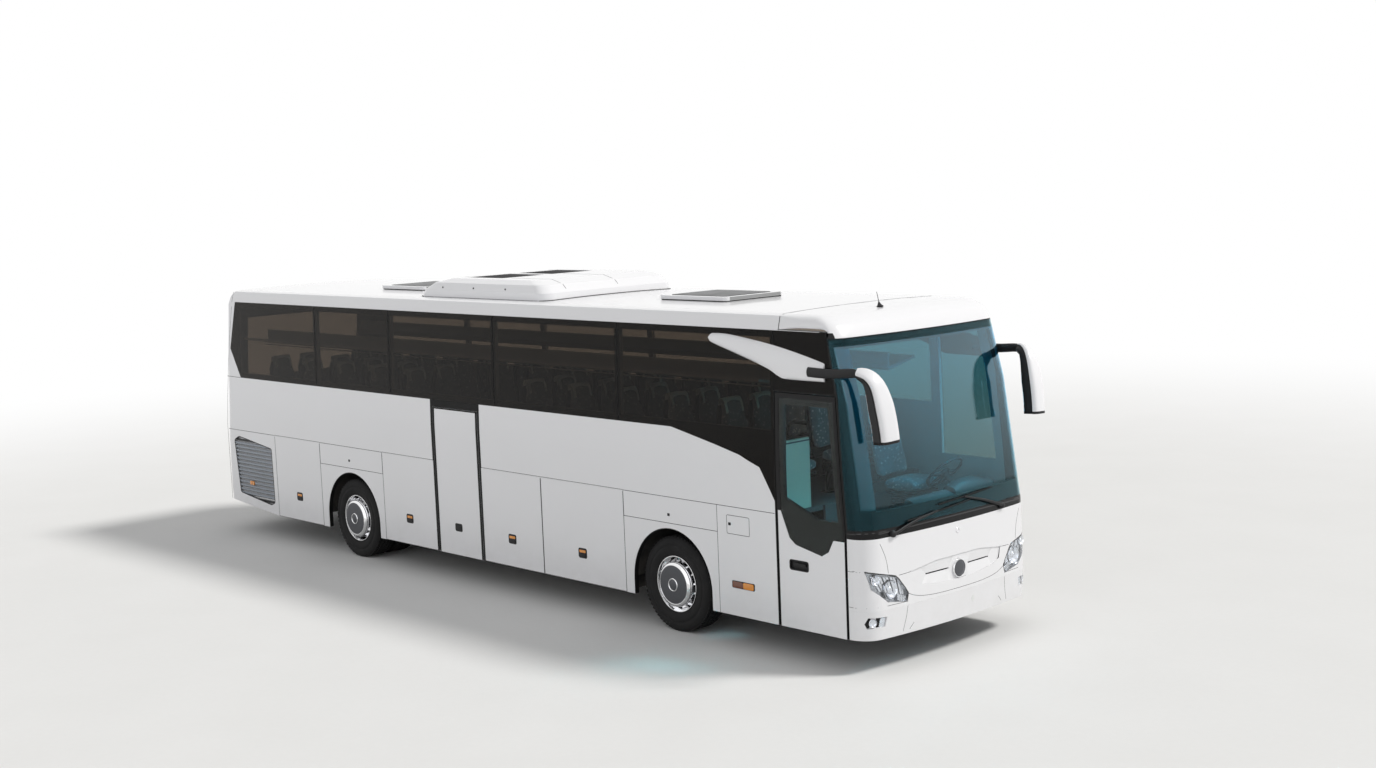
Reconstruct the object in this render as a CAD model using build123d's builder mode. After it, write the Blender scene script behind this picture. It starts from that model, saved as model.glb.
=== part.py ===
from build123d import *
from collections import namedtuple
import os

os.makedirs("parts", exist_ok=True)

# Overall size of the coach, +X forward, +Y to its left, ground at z = 0
body_length = 12200
body_width = 2550
roof_crown_z = 3430
mirror_reach = 200
wheelbase = 6090
front_overhang = 2800
wall = 50
glass_wall = 6
bond_gap = 0.3
seat_gap = 0.3
panel_gap = 6
door_gap = 10
hinge_radius = 5

half_width = body_width / 2
rear_x = -(body_length + mirror_reach) / 2
front_x = rear_x + body_length
axle_front_x = front_x - front_overhang
axle_rear_x = axle_front_x - wheelbase

# Heights of the lines that run round the body
skirt_z = 330
tail_low_z = 440
bumper_low_z = 335
bumper_top_z = 620
belt_z = 1446
sill_z = 2198
glass_top_z = 3254
fascia_low_z = 3262
fascia_top_z = 3395
floor_top_z = 1360
floor_plate = 50
hold_floor_z = 380
hold_plate = 40

# Stations along the side, each measured from the end or the axle that it keeps its distance to
seam_a_x = rear_x + 1416
seam_b_x = axle_rear_x - 743
seam_c_x = axle_rear_x + 724
seam_d_x = axle_front_x - 2157
seam_e_x = axle_front_x - 734
middle_door_rear_x = axle_rear_x + 1875
middle_door_front_x = axle_rear_x + 2790
middle_door_top_z = 2119
front_door_rear_x = axle_front_x + 1554
nose_seam_x = axle_front_x + 2462
roof_cap_x = axle_front_x + 1620
tail_cap_x = rear_x + 430
door_head_z = 2660

# Body form: setback of the nose and of the tail at each level
BodyLevel = namedtuple("BodyLevel", "z nose_back tail_in")
BODY_LEVELS = (
    BodyLevel(280, 30, 30),
    BodyLevel(620, 0, 0),
    BodyLevel(1360, 20, 25),
    BodyLevel(2600, 205, 160),
    BodyLevel(3220, 370, 240),
    BodyLevel(3330, 440, 305),
    BodyLevel(3400, 570, 420),
    BodyLevel(3450, 860, 620),
)
nose_bow = 90
tail_bow = 45
nose_corner = 230
tail_corner = 170
plan_margin = 0.5
upright_top_z = 1900
tumblehome = 40
roof_edge_in = 75
roof_shoulder_in = 200
roof_shoulder_z = 3413

# Wheels
tyre_radius = 510
tyre_width = 298
bead_radius = 288
rim_flange_radius = 300
rim_thickness = 14
bead_seat = 28
wheel_face_y = half_width - 40
twin_pitch = 340
arch_radius = 605
tub_radius = 645
tub_plate = 15
tub_inner_y = half_width - 770
kingpin_y = half_width - 375
spindle_radius = 45
spindle_clearance = 0.3
spindle_reach = 96
wheel_centre_y = wheel_face_y - tyre_width / 2
twin_inner_y = wheel_centre_y - twin_pitch


def body_block(inset, bottom_z):
    """Closed form of the body, drawn in by inset on the sides, the ends and the roof."""
    half = half_width - inset
    plan_half = half + plan_margin
    with BuildPart() as block:
        for level in BODY_LEVELS:
            z = bottom_z if level is BODY_LEVELS[0] else level.z
            nose = front_x - level.nose_back - inset
            tail = rear_x + level.tail_in + inset
            with BuildSketch(Plane.XY.offset(z)) as outline:
                with BuildLine():
                    ThreePointArc((nose - nose_bow, -plan_half), (nose, 0), (nose - nose_bow, plan_half))
                    Line((nose - nose_bow, plan_half), (tail + tail_bow, plan_half))
                    ThreePointArc((tail + tail_bow, plan_half), (tail, 0), (tail + tail_bow, -plan_half))
                    Line((tail + tail_bow, -plan_half), (nose - nose_bow, -plan_half))
                make_face()
                fillet(outline.vertices().group_by(Axis.X)[-1], radius=nose_corner - inset)
                fillet(outline.vertices().group_by(Axis.X)[0], radius=tail_corner - inset)
        loft(ruled=True)
        with BuildSketch(Plane.YZ):
            with BuildLine():
                Line((0, bottom_z), (half, bottom_z))
                Line((half, bottom_z), (half, upright_top_z))
                Line((half, upright_top_z), (half - tumblehome, glass_top_z))
                Line((half - tumblehome, glass_top_z), (half - roof_edge_in, fascia_top_z - inset))
                ThreePointArc((half - roof_edge_in, fascia_top_z - inset),
                              (half - roof_edge_in - 40, fascia_top_z + 12 - inset),
                              (half - roof_shoulder_in, roof_shoulder_z - inset))
                ThreePointArc((half - roof_shoulder_in, roof_shoulder_z - inset),
                              (half / 2, roof_crown_z - 5 - inset),
                              (0, roof_crown_z - inset))
                mirror(about=Plane.YZ)
            make_face()
        extrude(amount=body_length, both=True, mode=Mode.INTERSECT)
    return block.part


def side_region(points, y_near, y_far):
    """Prism between two y values over an outline of (x, z) points."""
    with BuildPart() as region:
        with BuildSketch(Plane.XZ.offset(-y_far)):
            with BuildLine():
                Polyline(*points, close=True)
            make_face()
        extrude(amount=y_far - y_near)
    return region.part


def block_between(low, high):
    """Box between two corners."""
    with BuildPart() as block:
        with BuildSketch(Plane.XY.offset(low[2])):
            with Locations(((low[0] + high[0]) / 2, (low[1] + high[1]) / 2)):
                Rectangle(high[0] - low[0], high[1] - low[1])
        extrude(amount=high[2] - low[2])
    return block.part


def overlap(first, second):
    """The part of one solid that lies inside another."""
    with BuildPart() as common:
        add(first)
        add(second, mode=Mode.INTERSECT)
    return common.part


def store(piece, name):
    """Label one finished piece and write it."""
    piece.label = name
    export_step(piece, f"parts/{name}.step")


def side_span(side):
    """The y values between which one side of the body lies."""
    return sorted((side * 900, side * (half_width + 100)))


def rectangle_xz(rear, front, low, high):
    """Four (x, z) corners."""
    return ((rear, low), (front, low), (front, high), (rear, high))


def tail_in_at(z):
    """Setback of the tail on the centre line at one height."""
    for low, high in zip(BODY_LEVELS, BODY_LEVELS[1:]):
        if low.z <= z <= high.z:
            return low.tail_in + (high.tail_in - low.tail_in) * (z - low.z) / (high.z - low.z)


body_low_z = BODY_LEVELS[0].z
body_outer = body_block(0, body_low_z)
glass_back = body_block(glass_wall, body_low_z - 100)
rebate_back = body_block(glass_wall + bond_gap, body_low_z - 100)
body_inner = body_block(wall, body_low_z - 100)
body_clear = body_block(-seat_gap, body_low_z - 100)
recess_depth = 10
pocket_depth = 25
recess_back = body_block(recess_depth, body_low_z - 100)
pocket_back = body_block(pocket_depth, body_low_z - 100)

with BuildPart() as shell:
    add(body_outer)
    add(body_inner, mode=Mode.SUBTRACT)
with BuildPart() as glass_skin:
    add(body_outer)
    add(glass_back, mode=Mode.SUBTRACT)
with BuildPart() as rebate_skin:
    add(body_outer)
    add(rebate_back, mode=Mode.SUBTRACT)
with BuildPart() as recess_skin:
    add(body_outer)
    add(recess_back, mode=Mode.SUBTRACT)
with BuildPart() as pocket_skin:
    add(body_outer)
    add(pocket_back, mode=Mode.SUBTRACT)

# Seams of the tail piece and of the nose piece with the sides, from the bottom up
TAIL_SEAM = (
    (rear_x + 140, tail_low_z),
    (rear_x + 140, 1500),
    (rear_x + 290, 2600),
    (tail_cap_x, fascia_low_z),
)
NOSE_SEAM = (
    (nose_seam_x, skirt_z),
    (nose_seam_x, 1360),
    (nose_seam_x - 102, door_head_z),
    (nose_seam_x - 222, fascia_low_z),
)
above_roof_z = roof_crown_z + 100
tail_region = side_region(
    TAIL_SEAM + ((tail_cap_x, above_roof_z), (rear_x - 100, above_roof_z), (rear_x - 100, tail_low_z)),
    -half_width - 100, half_width + 100)
nose_outline = (
    (roof_cap_x, above_roof_z),
    (roof_cap_x, fascia_low_z + seat_gap),
    (NOSE_SEAM[3][0], fascia_low_z + seat_gap),
) + NOSE_SEAM[2:0:-1] + (
    (nose_seam_x, bumper_top_z),
    (front_x + 200, bumper_top_z),
    (front_x + 200, above_roof_z),
)
nose_region = side_region(nose_outline, -half_width - 100, half_width + 100)

# Window band along the side, dropping to the waist beside the front door
band_front_x = front_door_rear_x - panel_gap
SWOOSH = (
    (axle_front_x + 60, sill_z),
    (axle_front_x + 700, sill_z - 128),
    (axle_front_x + 1060, sill_z - 208),
    (axle_front_x + 1190, sill_z - 258),
    (axle_front_x + 1340, sill_z - 308),
    (axle_front_x + 1430, sill_z - 448),
    (band_front_x, sill_z - 640),
)
band_outline = (
    (rear_x + 510, glass_top_z),
    (rear_x + 330, sill_z + 400),
    (rear_x + 590, sill_z),
) + SWOOSH + (
    (band_front_x, glass_top_z),
)
pane_edge = 5
pane_front = (
    (NOSE_SEAM[2][0] - pane_edge, door_head_z + door_gap),
    (NOSE_SEAM[3][0] - pane_edge, glass_top_z),
    (band_front_x - bond_gap, glass_top_z),
)
right_pane_outline = ((band_front_x - bond_gap, door_head_z + door_gap),) + pane_front
driver_pane_low_z = sill_z - 550
left_pane_outline = (
    (band_front_x - bond_gap, driver_pane_low_z),
    (nose_seam_x - 30, driver_pane_low_z),
) + pane_front

# Windows through the wall: rear and front edge of each
Window = namedtuple("Window", "rear front")
pillar = 90
window_margin = 70
window_edges = (rear_x + 560, axle_rear_x - 730, axle_rear_x + 990, axle_rear_x + 3130, axle_front_x - 770,
                band_front_x)
WINDOWS = [Window(a + pillar / 2, b - pillar / 2) for a, b in zip(window_edges, window_edges[1:])]
window_low_z = sill_z + window_margin
window_high_z = glass_top_z - window_margin
driver_pillar = 125
driver_window_outline = (
    (front_door_rear_x + window_margin, driver_pane_low_z + window_margin),
    (nose_seam_x - driver_pillar, driver_pane_low_z + window_margin),
    (NOSE_SEAM[2][0] - driver_pillar, door_head_z),
    (NOSE_SEAM[3][0] - driver_pillar, window_high_z),
    (front_door_rear_x + window_margin, window_high_z),
)

# Flaps on each side: name, rear seam and front seam
Flap = namedtuple("Flap", "name side rear front")
left_flap_seam_x = middle_door_rear_x + 350
FLAPS = (
    Flap("flap_right_service", -1, seam_a_x, seam_b_x),
    Flap("flap_right_rear", -1, seam_c_x, middle_door_rear_x),
    Flap("flap_right_middle", -1, middle_door_front_x, seam_d_x),
    Flap("flap_right_front", -1, seam_d_x, seam_e_x),
    Flap("flap_left_service", 1, seam_a_x, seam_b_x),
    Flap("flap_left_rear", 1, seam_c_x, left_flap_seam_x),
    Flap("flap_left_middle", 1, left_flap_seam_x, seam_d_x),
    Flap("flap_left_front", 1, seam_d_x, seam_e_x),
)


def arch_tool(station_x, side):
    """Cutter for a wheel arch in the side panel."""
    y_low, y_high = side_span(side)
    with BuildPart() as tool:
        with BuildSketch(Plane.XZ.offset(-y_high)):
            with Locations((station_x, tyre_radius)):
                Circle(arch_radius)
            with Locations((station_x, tyre_radius / 2)):
                Rectangle(2 * arch_radius, tyre_radius)
        extrude(amount=y_high - y_low)
    return tool.part


# Louvred air inlet at the tail end of each side: its outline in (x, z), and the louvres inside it
INLET = (
    (rear_x + 310, 1300),
    (rear_x + 440, 1360),
    (rear_x + 1310, 1250),
    (rear_x + 1320, 500),
    (rear_x + 1220, 460),
    (rear_x + 400, 560),
)
louvre_count = 16
louvre_low_z = 484
louvre_pitch = 54
louvre_height = 28
louvre_depth = 32


def inlet_tool(side):
    """Cutter for the air inlet: slots as deep as the louvres, which stand a little inside the panel."""
    y_deep = side * (half_width - louvre_depth)
    y_face = side * (half_width - recess_depth)
    deep_low, deep_high = sorted((y_deep, side * (half_width + 100)))
    slat_low, slat_high = sorted((y_deep - side * 10, y_face))
    slats = [block_between((rear_x, slat_low, louvre_low_z + louvre_pitch * row),
                           (rear_x + 1400, slat_high, louvre_low_z + louvre_pitch * row + louvre_height))
             for row in range(louvre_count)]
    with BuildPart() as tool:
        add(side_region(INLET, deep_low, deep_high))
        add(slats, mode=Mode.SUBTRACT)
    return tool.part


def side_panel(side, pane_outline):
    """One side of the body, with its windows, doorways, flap openings, arches and air inlet cut."""
    y_low, y_high = side_span(side)
    tail_edge = tuple((x + seat_gap, z) for x, z in TAIL_SEAM)
    nose_edge = tuple((x - seat_gap, z) for x, z in NOSE_SEAM[::-1])
    outline = tail_edge + nose_edge + ((seam_a_x, skirt_z),)
    cutters = [overlap(rebate_skin.part, side_region(band_outline, y_low, y_high)),
               overlap(rebate_skin.part, side_region(pane_outline, y_low, y_high))]
    openings = [rectangle_xz(w.rear, w.front, window_low_z, window_high_z) for w in WINDOWS]
    openings += [rectangle_xz(f.rear, f.front, 0, belt_z) for f in FLAPS if f.side == side]
    if side < 0:
        openings.append(rectangle_xz(front_door_rear_x, front_x, 0, door_head_z))
        openings.append(rectangle_xz(middle_door_rear_x, middle_door_front_x, 0, middle_door_top_z))
    else:
        openings.append(driver_window_outline)
    cutters += [side_region(opening, y_low, y_high) for opening in openings]
    cutters += [arch_tool(station, side) for station in (axle_front_x, axle_rear_x)]
    cutters.append(inlet_tool(side))
    with BuildPart() as panel:
        add(shell.part)
        add(side_region(outline, y_low, y_high), mode=Mode.INTERSECT)
        add(cutters, mode=Mode.SUBTRACT)
    return panel.part


# Sides, and on each one flush band of glass that is one piece with the pane ahead of it
SideOfBody = namedtuple("SideOfBody", "side name pane_outline")
SIDES = (
    SideOfBody(-1, "right", right_pane_outline),
    SideOfBody(1, "left", left_pane_outline),
)
for body_side in SIDES:
    store(side_panel(body_side.side, body_side.pane_outline), f"side_{body_side.name}")
    y_low, y_high = side_span(body_side.side)
    with BuildPart() as glass:
        add(overlap(glass_skin.part, side_region(band_outline, y_low, y_high)))
        add(overlap(glass_skin.part, side_region(body_side.pane_outline, y_low, y_high)))
    store(glass.part, f"side_glass_{body_side.name}")

# Roof between the tail piece and the nose piece, with two hatch openings
Hatch = namedtuple("Hatch", "name rear front")
hatch_half = 420
HATCHES = (
    Hatch("roof_hatch_front", axle_front_x - 920, axle_front_x + 80),
    Hatch("roof_hatch_rear", axle_rear_x - 290, axle_rear_x + 610),
)
roof_region = block_between((tail_cap_x + seat_gap, -half_width, fascia_low_z + seat_gap),
                            (roof_cap_x - seat_gap, half_width, above_roof_z))
hatch_tools = [block_between((h.rear, -hatch_half, roof_crown_z - 200), (h.front, hatch_half, above_roof_z))
               for h in HATCHES]
with BuildPart() as roof:
    add(shell.part)
    add(roof_region, mode=Mode.INTERSECT)
    add(hatch_tools, mode=Mode.SUBTRACT)
store(roof.part, "roof")

# Hatch lids: a tray that stands a little proud of the roof, hinged along its rear edge
hatch_proud = 40
hatch_lift = 8
hatch_lap = 30
hatch_plug = 40
hatch_barrel_half = 60
hatch_hinge_z = roof_crown_z + hinge_radius + seat_gap
for h in HATCHES:
    middle_x = (h.rear + h.front) / 2
    length = h.front - h.rear
    with BuildPart() as hatch:
        with BuildSketch(Plane.XY.offset(roof_crown_z + hatch_lift)):
            with Locations((middle_x, 0)):
                RectangleRounded(length + 2 * hatch_lap, 2 * (hatch_half + hatch_lap), 60)
        extrude(amount=hatch_proud)
        with BuildSketch(Plane.XY.offset(roof_crown_z + hatch_lift)):
            with Locations((middle_x, 0)):
                RectangleRounded(length - 2 * hatch_lap, 2 * (hatch_half - hatch_lap), 40)
        extrude(amount=-hatch_plug)
        with BuildSketch(Plane.XZ):
            with Locations((h.rear - hatch_lap + hinge_radius, hatch_hinge_z)):
                Circle(hinge_radius)
        extrude(amount=hatch_barrel_half, both=True)
    store(hatch.part, h.name)

# Nose: mask above the bumper, windscreen, bumper, headlamps
windscreen_low_z = 1395
windscreen_high_z = 3195
windscreen_edge = 20
windscreen_outline = (
    (nose_seam_x + windscreen_edge, windscreen_low_z),
    (front_x + 100, windscreen_low_z),
    (front_x + 100, windscreen_high_z),
    (NOSE_SEAM[3][0] + windscreen_edge, windscreen_high_z),
    (NOSE_SEAM[2][0] + windscreen_edge, door_head_z),
)
windscreen_region = side_region(windscreen_outline, -half_width - 50, half_width + 50)
windscreen_half = half_width - 195
windscreen_window = block_between((nose_seam_x - 500, -windscreen_half, windscreen_low_z + 165),
                                  (front_x + 100, windscreen_half, windscreen_high_z - 95))


def front_prism(points, depth_low):
    """Prism along X over an outline of (y, z) points, from depth_low to ahead of the nose."""
    with BuildPart() as prism:
        with BuildSketch(Plane.YZ.offset(depth_low)):
            with BuildLine():
                Polyline(*points, close=True)
            make_face()
        extrude(amount=front_x + 200 - depth_low)
    return prism.part


HEADLAMP = ((45 - half_width, 1010), (375 - half_width, 930), (535 - half_width, 740),
            (515 - half_width, 650), (255 - half_width, 690), (85 - half_width, 830))
headlamp_mirror = tuple((-y, z) for y, z in HEADLAMP)
headlamp_tools = [front_prism(outline, front_x - 300) for outline in (HEADLAMP, headlamp_mirror)]

# Shallow recess across the nose with a slot on each side of a round boss
NOSE_RECESS = ((-700, 935), (-670, 825), (-544, 782), (-274, 750), (274, 750), (544, 782), (670, 825),
               (700, 935), (330, 985), (-330, 985))
boss_z = 845
boss_radius = 92
nose_slot_near = 150
nose_slot_far = 490
nose_slot_z = 862
nose_slot_height = 16
with BuildPart() as recess_tool:
    add(front_prism(NOSE_RECESS, front_x - 300))
    with BuildSketch(Plane.YZ.offset(front_x - 300)):
        with Locations((0, boss_z)):
            Circle(boss_radius)
    extrude(amount=500, mode=Mode.SUBTRACT)
    add(recess_skin.part, mode=Mode.INTERSECT)
nose_slot_length = nose_slot_far - nose_slot_near
nose_slots = [block_between((front_x - 300, near, nose_slot_z),
                            (front_x + 100, near + nose_slot_length, nose_slot_z + nose_slot_height))
              for near in (-nose_slot_far, nose_slot_near)]
nose_slot_tools = [overlap(pocket_skin.part, slot) for slot in nose_slots]
with BuildPart() as front_mask:
    add(shell.part)
    add(nose_region, mode=Mode.INTERSECT)
    add(overlap(rebate_skin.part, windscreen_region), mode=Mode.SUBTRACT)
    add(windscreen_window, mode=Mode.SUBTRACT)
    add(headlamp_tools, mode=Mode.SUBTRACT)
    add(recess_tool.part, mode=Mode.SUBTRACT)
    add(nose_slot_tools, mode=Mode.SUBTRACT)
store(front_mask.part, "front_mask")

# Bumper with a pocket for a pair of fog lamps at each corner
FOG_POCKET = ((40 - half_width, 500), (60 - half_width, 560), (248 - half_width, 552),
              (226 - half_width, 460), (56 - half_width, 452))
fog_mirror = tuple((-y, z) for y, z in FOG_POCKET)
fog_prisms = [front_prism(outline, front_x - 300) for outline in (FOG_POCKET, fog_mirror)]
fog_tools = [overlap(pocket_skin.part, prism) for prism in fog_prisms]
bumper_zone = block_between((nose_seam_x, -half_width - 100, bumper_low_z),
                            (front_x + 200, half_width + 100, bumper_top_z - seat_gap))
with BuildPart() as front_bumper:
    add(overlap(shell.part, bumper_zone))
    add(fog_tools, mode=Mode.SUBTRACT)
store(front_bumper.part, "front_bumper")
store(overlap(glass_skin.part, windscreen_region), "windscreen")

with BuildPart() as front_lamps:
    for tool in headlamp_tools:
        add(overlap(shell.part, tool))
    add(nose_region, mode=Mode.INTERSECT)
store(front_lamps.part, "front_lamps")

# Tail: rear wall with its window, engine lid opening and lamp pockets
engine_lid_half = half_width - 375
engine_lid_low_z = 620
engine_lid_top_z = 1760
rear_window_half = half_width - 295
rear_window_low_z = 2080
rear_window_high_z = 3060
rear_window_margin = 60
lamp_in = half_width - 190
lamp_out = half_width + 20
lamp_low_z = 850
lamp_high_z = 1400
lamp_wrap = 105


def rear_prism(low_y, high_y, low_z, high_z, reach=900):
    """Box through the tail."""
    return block_between((rear_x - 100, low_y, low_z), (rear_x + reach, high_y, high_z))


# Lamps that wrap the tail's corners
tail_lamp_tools = [rear_prism(-lamp_out, -lamp_in, lamp_low_z, lamp_high_z, lamp_wrap),
                   rear_prism(lamp_in, lamp_out, lamp_low_z, lamp_high_z, lamp_wrap)]
engine_opening = rear_prism(-engine_lid_half, engine_lid_half, engine_lid_low_z, engine_lid_top_z)
rear_pane_region = rear_prism(-rear_window_half, rear_window_half, rear_window_low_z, rear_window_high_z)
rear_window_hole = rear_prism(-rear_window_half + rear_window_margin, rear_window_half - rear_window_margin,
                              rear_window_low_z + rear_window_margin, rear_window_high_z - rear_window_margin)
with BuildPart() as rear_wall:
    add(shell.part)
    add(tail_region, mode=Mode.INTERSECT)
    add(engine_opening, mode=Mode.SUBTRACT)
    add(overlap(rebate_skin.part, rear_pane_region), mode=Mode.SUBTRACT)
    add(rear_window_hole, mode=Mode.SUBTRACT)
    add(tail_lamp_tools, mode=Mode.SUBTRACT)
store(rear_wall.part, "rear_wall")
store(overlap(glass_skin.part, rear_pane_region), "rear_window")
with BuildPart() as tail_lamps:
    for tool in tail_lamp_tools:
        add(overlap(shell.part, tool))
    add(tail_region, mode=Mode.INTERSECT)
store(tail_lamps.part, "tail_lamps")

# Engine lid, hinged along its top edge
lid_zone = rear_prism(-engine_lid_half + panel_gap, engine_lid_half - panel_gap,
                      engine_lid_low_z + panel_gap, engine_lid_top_z - panel_gap)
lid_slab = overlap(overlap(shell.part, tail_region), lid_zone)
lid_hinge_z = engine_lid_top_z - hinge_radius - seat_gap
lid_hinge_x = rear_x + tail_in_at(lid_hinge_z) + hinge_radius + seat_gap
lid_barrel_half = 60
lid_slot_half = 640
lid_slot_count = 9
lid_slot_low_z = 760
lid_slot_pitch = 52
lid_slot_height = 24
lid_slot_levels = [lid_slot_low_z + lid_slot_pitch * row for row in range(lid_slot_count)]
lid_slots = [rear_prism(-lid_slot_half, lid_slot_half, z, z + lid_slot_height) for z in lid_slot_levels]
with BuildPart() as engine_lid:
    add(lid_slab)
    add(lid_slots, mode=Mode.SUBTRACT)
    with BuildSketch(Plane.XZ):
        with Locations((lid_hinge_x, lid_hinge_z)):
            Circle(hinge_radius)
    extrude(amount=lid_barrel_half, both=True)
store(engine_lid.part, "engine_lid")

# Side flaps, each with a hinge barrel along its top edge
flap_hinge_y = half_width - hinge_radius
flap_hinge_z = belt_z - hinge_radius - seat_gap
for flap in FLAPS:
    y_low, y_high = side_span(flap.side)
    slab = overlap(shell.part, side_region(rectangle_xz(flap.rear + panel_gap / 2, flap.front - panel_gap / 2,
                                                        skirt_z, belt_z - panel_gap), y_low, y_high))
    with BuildPart() as flap_piece:
        add(slab)
        with BuildSketch(Plane.YZ.offset(flap.rear + panel_gap / 2)):
            with Locations((flap.side * flap_hinge_y, flap_hinge_z)):
                Circle(hinge_radius)
        extrude(amount=flap.front - flap.rear - panel_gap)
    store(flap_piece.part, flap.name)

# Each door leaf is carried by an arm on an upright post at the doorway's front side
DoorArm = namedtuple("DoorArm", "name post_x arm_length low_z high_z foot_z")
front_step_z = (420, 680, 900)
middle_steps = (hold_floor_z + 30, hold_floor_z + 275, hold_floor_z + 520, hold_floor_z + 765)
door_post_y = 155 - half_width
arm_width = 50
arm_plate = 30
post_radius = 20
FRONT_ARM = DoorArm("front_door_arm", nose_seam_x - 98, 700, 720, 1000, front_step_z[0])
MIDDLE_ARM = DoorArm("middle_door_arm", middle_door_front_x - 75, 640, 720, 1000, middle_steps[0])


def leaf_bracket(arm):
    """Lug on the inside of a door leaf, between the two plates of its arm."""
    pivot_x = arm.post_x - arm.arm_length
    inner_face_y = -half_width + wall
    with BuildPart() as bracket:
        with BuildSketch(Plane.XY.offset(arm.low_z + arm_plate + seat_gap)):
            with Locations((pivot_x, door_post_y)):
                Circle(arm_width / 2)
            with Locations((pivot_x, (door_post_y + inner_face_y) / 2)):
                Rectangle(arm_width, door_post_y - inner_face_y)
        extrude(amount=arm.high_z - arm.low_z - arm_plate - 2 * seat_gap)
    return bracket.part


y_low, y_high = side_span(-1)
leaf_front_x = nose_seam_x - door_gap
leaf_head_x = NOSE_SEAM[2][0] - door_gap
front_leaf_outline = (
    (front_door_rear_x + door_gap, skirt_z),
    (leaf_front_x, skirt_z),
    (leaf_front_x, NOSE_SEAM[1][1]),
    (leaf_head_x, door_head_z - door_gap),
    (front_door_rear_x + door_gap, door_head_z - door_gap),
)
front_pane = (
    (front_door_rear_x + 60, 1490),
    (front_door_rear_x + 170, 1230),
    (front_door_rear_x + 250, 1170),
    (front_door_rear_x + 590, 1100),
    (front_door_rear_x + 680, 1150),
    (front_door_rear_x + 745, 1270),
    (leaf_front_x - 30, 1280),
    (leaf_front_x - 30, NOSE_SEAM[1][1]),
    (leaf_head_x - 35, 2600),
    (front_door_rear_x + 60, 2600),
)
front_door_window = (
    (front_door_rear_x + 110, 1620),
    (front_door_rear_x + 540, 1450),
    (leaf_front_x - 90, 1450),
    (leaf_head_x - 100, 2540),
    (front_door_rear_x + 110, 2540),
)
front_bracket = leaf_bracket(FRONT_ARM)
handle_pocket = block_between((front_door_rear_x + 166, -half_width - 50, 922),
                              (front_door_rear_x + 406, -half_width + pocket_depth, 1012))
with BuildPart() as front_door:
    add(shell.part)
    add(side_region(front_leaf_outline, y_low, y_high), mode=Mode.INTERSECT)
    add(overlap(rebate_skin.part, side_region(front_pane, y_low, y_high)), mode=Mode.SUBTRACT)
    add(side_region(front_door_window, y_low, y_high), mode=Mode.SUBTRACT)
    add(handle_pocket, mode=Mode.SUBTRACT)
    add(front_bracket)
store(front_door.part, "front_door")
store(overlap(glass_skin.part, side_region(front_pane, y_low, y_high)), "front_door_glass")

middle_leaf_outline = rectangle_xz(middle_door_rear_x + door_gap, middle_door_front_x - door_gap,
                                   skirt_z, middle_door_top_z - door_gap)
middle_slab = overlap(shell.part, side_region(middle_leaf_outline, y_low, y_high))
middle_bracket = leaf_bracket(MIDDLE_ARM)
with BuildPart() as middle_door:
    add(middle_slab)
    add(middle_bracket)
store(middle_door.part, "middle_door")

for arm in (FRONT_ARM, MIDDLE_ARM):
    with BuildPart() as door_arm:
        for z in (arm.low_z, arm.high_z):
            with BuildSketch(Plane.XY.offset(z)):
                with Locations((arm.post_x - arm.arm_length / 2, door_post_y)):
                    SlotCenterToCenter(arm.arm_length, arm_width)
            extrude(amount=arm_plate)
        with BuildSketch(Plane.XY.offset(arm.foot_z + seat_gap)):
            with Locations((arm.post_x, door_post_y)):
                Circle(post_radius)
        extrude(amount=arm.high_z - arm.foot_z - seat_gap)
    store(door_arm.part, arm.name)

# Floors: passenger floor with side ducts, driver's platform and front steps
driver_floor_z = 1100
tread_plate = 30
tread_depth = 300
middle_well_y = -300
well_back_y = -500
cabin_rear_x = rear_x + 260
cabin_front_x = axle_front_x + 1300
floor_half = half_width - wall - panel_gap
wall_seat = half_width - wall - seat_gap
platform_y = -floor_half + len(front_step_z) * tread_depth
duct_width = 90
duct_low_z = belt_z + 4
duct_top_z = belt_z + 74
well_length = middle_door_front_x - middle_door_rear_x
steps_front_x = nose_seam_x - panel_gap
partition_top_z = 2070


def stair_sections(treads, depth, top_z):
    """Outline in (y, z) of each tread with the riser behind it, from the wall inward."""
    heights = treads + (top_z,)
    sections = []
    for step, z in enumerate(treads):
        near_y = -floor_half + step * depth
        far_y = near_y + depth
        sections.append(((near_y, z - tread_plate), (far_y, z - tread_plate), (far_y, heights[step + 1]),
                         (far_y - tread_plate, heights[step + 1]), (far_y - tread_plate, z), (near_y, z)))
    return sections


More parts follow.
